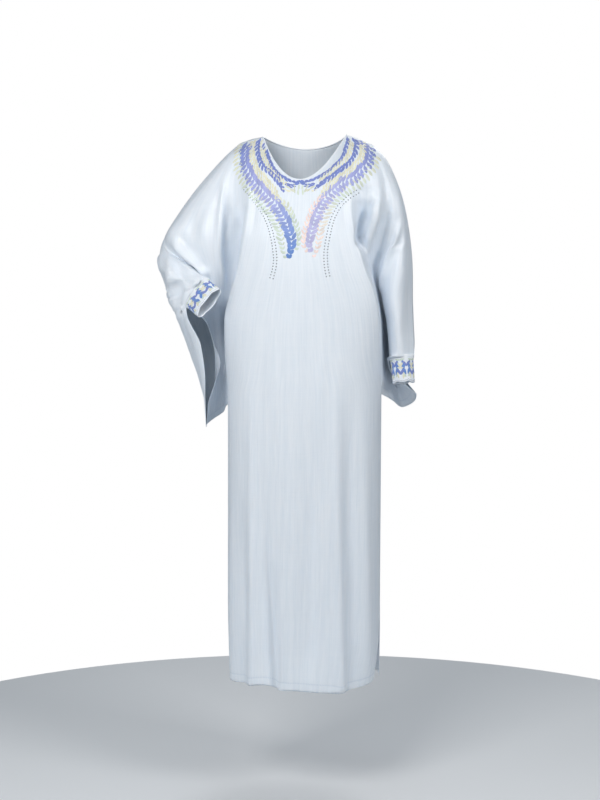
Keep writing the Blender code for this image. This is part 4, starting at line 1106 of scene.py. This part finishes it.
# A feather's blades leave its spine at an angle from the way down it, at its start and at its end:
# under 90 degrees they point down, over 90 up. None leaves out that side's blades.
FEATHERS = (
    # name, spine, spacing, length, thickness, left angles, right angles, bend, colours
    ("sage bent", BENT_SAGE_OUTER, 0.0105, 0.0175, 0.36, (55, 140), None, 0.12,
     CREAM, SAGE, SAGE),
    ("sage bent back", BENT_SAGE_OUTER, 0.0105, 0.0110, 0.36, None, (40, 150), 0.12,
     SAGE, CREAM, SAGE),
    ("sage bent in", BENT_SAGE_INNER, 0.0105, 0.0145, 0.36, (150, 155), (138, 142), 0.12,
     CREAM, SAGE, SAGE),
    ("cream bent", BENT_CREAM_OUTER, 0.0088, 0.0150, 0.38, (44, 50), (135, 142), 0.12,
     CREAM, CREAM, CREAM),
    ("cream bent in", BENT_CREAM_INNER, 0.0085, 0.0130, 0.38, (40, 45), (138, 142), 0.12,
     CREAM, CREAM, CREAM),
    ("blue bent", BENT_OUTER, 0.0108, 0.0225, 0.40, (40, 140), (140, 144), 0.10,
     PERIWINKLE, LAVENDER, CORNFLOWER),
    ("blue bent mid", BENT_MIDDLE, 0.0102, 0.0165, 0.36, (36, 34), (158, 160), 0.10,
     PERIWINKLE, PERIWINKLE, PERIWINKLE),
    ("blue bent in", BENT_INNER, 0.0100, 0.0140, 0.34, (30, 16), (156, 164), 0.10,
     PERIWINKLE, PERIWINKLE, PERIWINKLE),
    ("pink hanging", HANGING_PINK_OUTER, 0.0105, 0.0175, 0.36, None, (55, 140), 0.12,
     CREAM, SAGE, PINK),
    ("pink hanging back", HANGING_PINK_OUTER, 0.0105, 0.0110, 0.36, (40, 150), None, 0.12,
     SAGE, CREAM, PINK),
    ("pink hanging in", HANGING_PINK_INNER, 0.0105, 0.0145, 0.36, (138, 142), (150, 155), 0.12,
     PINK, PINK, PINK),
    ("cream hanging", HANGING_CREAM_OUTER, 0.0088, 0.0150, 0.38, (135, 142), (44, 50), 0.12,
     CREAM, CREAM, CREAM),
    ("cream hanging in", HANGING_CREAM_INNER, 0.0085, 0.0130, 0.38, (138, 142), (40, 45), 0.12,
     CREAM, CREAM, CREAM),
    ("lilac hanging", HANGING_OUTER, 0.0108, 0.0215, 0.40, (140, 144), (40, 140), 0.10,
     PERIWINKLE, LAVENDER, LILAC),
    ("lilac hanging mid", HANGING_MIDDLE, 0.0102, 0.0165, 0.36, (158, 160), (36, 34), 0.10,
     PERIWINKLE, PERIWINKLE, PERIWINKLE),
    ("lilac hanging in", HANGING_INNER, 0.0100, 0.0140, 0.34, (156, 164), (30, 16), 0.10,
     PERIWINKLE, PERIWINKLE, PERIWINKLE),
    ("ornament", ORNAMENT, 0.0095, 0.0130, 0.42, (50, 130), (130, 50), 0.20,
     CREAM, SAGE, CREAM),
    ("swirl bent", SWIRL_BENT, 0.0075, 0.0125, 0.34, (26, 26), (26, 26), 0.25,
     PERIWINKLE, PERIWINKLE, CORNFLOWER),
    ("swirl hanging", SWIRL_HANGING, 0.0075, 0.0125, 0.34, (26, 26), (26, 26), 0.25,
     PERIWINKLE, PERIWINKLE, CORNFLOWER),
)

work = stitch_work()
for name, points, spacing, length, thick, left, right, bend, start, middle, end in FEATHERS:
    fine, run = line_reader(points)
    count = int(run[-1] / spacing)
    for step in range(count + 1):
        part = step / count
        root, way = read_line(fine, run, run[-1] * part)
        colour = mixed(start, middle, part * 2) if part < 0.5 else mixed(middle, end, part * 2 - 1)
        shade = 1.0 + 0.07 * math.sin(step * 1.7 + len(name))
        taper = 1.0 - 0.45 * max(part - 0.86, 0.0) / 0.14
        colour = tuple(min(channel * shade, 1.0) for channel in colour)
        for hand, angles in ((-1, left), (1, right)):
            if angles is None:
                continue
            reach = length * taper * (1.0 + 0.12 * math.sin(step * 2.4 + hand))
            angle = angles[0] + (angles[1] - angles[0]) * part + 5 * math.sin(step * 1.3)
            turn = math.radians(angle) * hand
            cos_turn, sin_turn = math.cos(turn), math.sin(turn)
            blade_way = np.array([
                way[0] * cos_turn - way[1] * sin_turn,
                way[0] * sin_turn + way[1] * cos_turn,
            ])
            curl = -bend * hand * (1 if angle < 90 else -1)
            add_blade(work, on_chest, root, blade_way, reach, length * thick, curl, colour, BLADE_PAD)


def thread_material(name, roughness):
    """Satin-stitch thread: the colour of each blade, with the fine ridges of its slanting stitches, and
    painted shade and painted highlight along those ridges.
    """
    material = bpy.data.materials.new(name)
    material.use_nodes = True
    tree = material.node_tree
    shader = tree.nodes["Principled BSDF"]
    shader.inputs["Roughness"].default_value = roughness
    shader.inputs["Sheen Weight"].default_value = 0.2
    shader.inputs["Specular IOR Level"].default_value = 0.6
    thread = shader_node(tree, "ShaderNodeAttribute", attribute_name="thread")
    stitch_place = shader_node(tree, "ShaderNodeUVMap", uv_map="stitch")
    slant = {"Vector": stitch_place.outputs["UV"], "Rotation": (0.0, 0.0, 0.6)}
    turn = shader_node(tree, "ShaderNodeMapping", slant)
    rows = {"Vector": turn.outputs["Vector"], "Scale": 420.0, "Distortion": 0.6}
    ridges = shader_node(tree, "ShaderNodeTexWave", rows, bands_direction="Y").outputs["Fac"]
    # the stitch ridges darken and lighten the thread's colour: painted shade in the grooves, painted
    # highlight on the ridge tops
    shade = shader_node(tree, "ShaderNodeMapRange", {"Value": ridges, "To Min": 0.80, "To Max": 1.12})
    parts = {0: thread.outputs["Color"], 1: shade.outputs["Result"]}
    colour = shader_node(tree, "ShaderNodeVectorMath", parts, operation="MULTIPLY")
    tree.links.new(colour.outputs[0], shader.inputs["Base Color"])
    relief = shader_node(tree, "ShaderNodeBump", {"Strength": 0.5, "Distance": 0.0004, "Height": ridges})
    tree.links.new(relief.outputs["Normal"], shader.inputs["Normal"])
    return material


thread = thread_material("embroidery thread", 0.5)


def finish_work(name, work, material):
    """A joined piece of small parts, in place on the cloth."""
    mesh = bpy.data.meshes.new(name)
    work.normal_update()
    work.to_mesh(mesh)
    work.free()
    mesh.shade_smooth()
    mesh.materials.append(material)
    piece = bpy.data.objects.new(name, mesh)
    bpy.context.collection.objects.link(piece)
    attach(piece, "root")
    return piece


for face in work.faces:
    face.normal_update()
wrong = [face for face in work.faces if face.normal.y > 0.2]
if len(wrong) * 2 > len(work.faces):
    bmesh.ops.reverse_faces(work, faces=work.faces)
neck_embroidery = finish_work("neck_embroidery", work, thread)

# The cuffs' vines: sprigs of nine leaves that lean along the band one way and the other, in turn.
SPRIGS = 11
LEAF_LONGER = 1.15
LEAF_WIDER = 1.4
LEAF_BEND = 0.25
LEAVES = (
    # place along the cuff, turn from its length, length, width, colour
    (0.012, 0.25, 0.022, 0.0075, CORNFLOWER),
    (0.014, 1.05, 0.016, 0.0055, PERIWINKLE),
    (0.014, -0.65, 0.017, 0.0055, CREAM),
    (0.030, 0.75, 0.017, 0.0060, CORNFLOWER),
    (0.030, -0.45, 0.018, 0.0060, PERIWINKLE),
    (0.040, 0.10, 0.014, 0.0050, CREAM),
    (0.044, 1.00, 0.011, 0.0042, SAGE),
    (0.008, -1.15, 0.011, 0.0040, SAGE),
    (0.028, -1.20, 0.012, 0.0042, CREAM),
)
for side, name in ((BENT, "cuff_embroidery_bent_arm"), (HANGING, "cuff_embroidery_hanging_arm")):
    work = stitch_work()

    def on_cuff(u, v, height):
        """The place on this cuff's face at u metres round it and v metres along it."""
        return cuff_surface(side, u / CUFF_ROUND, v / CUFF_LENGTH, CUFF_WALL + height)

    for sprig in range(SPRIGS):
        u = (sprig + 0.5) * CUFF_ROUND / SPRIGS
        lean = 1 if sprig % 2 else -1
        for root_v, turn, length, width, colour in LEAVES:
            way = np.array([math.sin(turn) * lean, math.cos(turn)])
            root = np.array([u - way[0] * length * 0.3, root_v - 0.004])
            reach, wide, curl = length * LEAF_LONGER, width * LEAF_WIDER, LEAF_BEND * lean
            add_blade(work, on_cuff, root, way, reach, wide, curl, colour, LEAF_PAD)
    centre = Vector(CUFFS[side][0]).lerp(Vector(CUFFS[side][1]), 0.5)
    work.normal_update()
    if sum((face.calc_center_median() - centre).dot(face.normal) for face in work.faces) < 0:
        bmesh.ops.reverse_faces(work, faces=work.faces)
    finish_work(name, work, thread)

# ---------------------------------------------------------------------------------------------
# Rhinestones: small flat-backed glass stones glued in two close dotted lines down each side of the
# chest, and smaller ones along the scallops of the cuffs.

STONE_LINES = (
    ((-0.131, -0.136), (-0.112, -0.158), (-0.095, -0.180), (-0.078, -0.204), (-0.067, -0.225),
     (-0.059, -0.247), (-0.053, -0.270), (-0.049, -0.293), (-0.047, -0.317), (-0.050, -0.341),
     (-0.056, -0.362)),
    ((0.138, -0.148), (0.120, -0.163), (0.101, -0.180), (0.090, -0.198), (0.081, -0.219), (0.075, -0.243),
     (0.071, -0.266), (0.067, -0.290), (0.066, -0.314), (0.068, -0.338), (0.072, -0.358)),
)
STONE_SPACING = 0.0072
STONE_APART = 0.0082      # between the two lines
STONE_RADIUS = 0.00165
CUFF_STONES = 60
CUFF_STONE_RADIUS = 0.0009
CUFF_STONE_LINE = 0.93    # their line, as a share of the cuff's length
stones = bmesh.new()


def add_stone(point, normal, radius):
    """One stone: a low faceted dome on the cloth."""
    made = bmesh.ops.create_icosphere(stones, subdivisions=1, radius=radius)
    turn = normal.to_track_quat("Z", "Y")
    for vert in made["verts"]:
        low = Vector((vert.co.x, vert.co.y, max(vert.co.z, -0.1 * radius) * 0.75))
        vert.co = point + turn @ low


for line in STONE_LINES:
    hand = -1 if line[0][0] < 0 else 1
    fine, run = line_reader(line)
    count = int(run[-1] / STONE_SPACING)
    for step in range(count + 1):
        place, way = read_line(fine, run, run[-1] * step / count)
        out = np.array([way[1], -way[0]]) * hand
        for offset in (0.0, STONE_APART):
            spot = place - out * offset
            low = on_chest(spot[0], spot[1], 0.0)
            high = on_chest(spot[0], spot[1], 0.001)
            if low is not None and high is not None:
                add_stone(low, (high - low).normalized(), STONE_RADIUS)
for side in (BENT, HANGING):
    for step in range(CUFF_STONES):
        low = cuff_surface(side, step / CUFF_STONES, CUFF_STONE_LINE, CUFF_WALL)
        high = cuff_surface(side, step / CUFF_STONES, CUFF_STONE_LINE, 2 * CUFF_WALL)
        add_stone(low, (high - low).normalized(), CUFF_STONE_RADIUS)
glass = bpy.data.materials.new("rhinestone")
glass.use_nodes = True
glass_shader = glass.node_tree.nodes["Principled BSDF"]
glass_shader.inputs["Metallic"].default_value = 0.85
glass_shader.inputs["Roughness"].default_value = 0.12
# the stones' speckled dark and light greys are painted reflections and glints of their facets, not a colour
# of the glass
facet_place = glass.node_tree.nodes.new("ShaderNodeTexCoord")
sparkle = {"Vector": facet_place.outputs["Object"], "Scale": 900.0}
glint_noise = shader_node(glass.node_tree, "ShaderNodeTexNoise", sparkle)
greys = {"Factor": glint_noise.outputs["Fac"], "A": (0.22, 0.25, 0.30, 1.0), "B": (0.62, 0.67, 0.74, 1.0)}
painted_glint_colour = shader_node(glass.node_tree, "ShaderNodeMix", greys, data_type="RGBA")
glass.node_tree.links.new(painted_glint_colour.outputs["Result"], glass_shader.inputs["Base Color"])
stone_mesh = bpy.data.meshes.new("rhinestones")
bmesh.ops.recalc_face_normals(stones, faces=stones.faces)
stones.to_mesh(stone_mesh)
stones.free()
stone_mesh.materials.append(glass)
rhinestones = bpy.data.objects.new("rhinestones", stone_mesh)
bpy.context.collection.objects.link(rhinestones)
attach(rhinestones, "root")
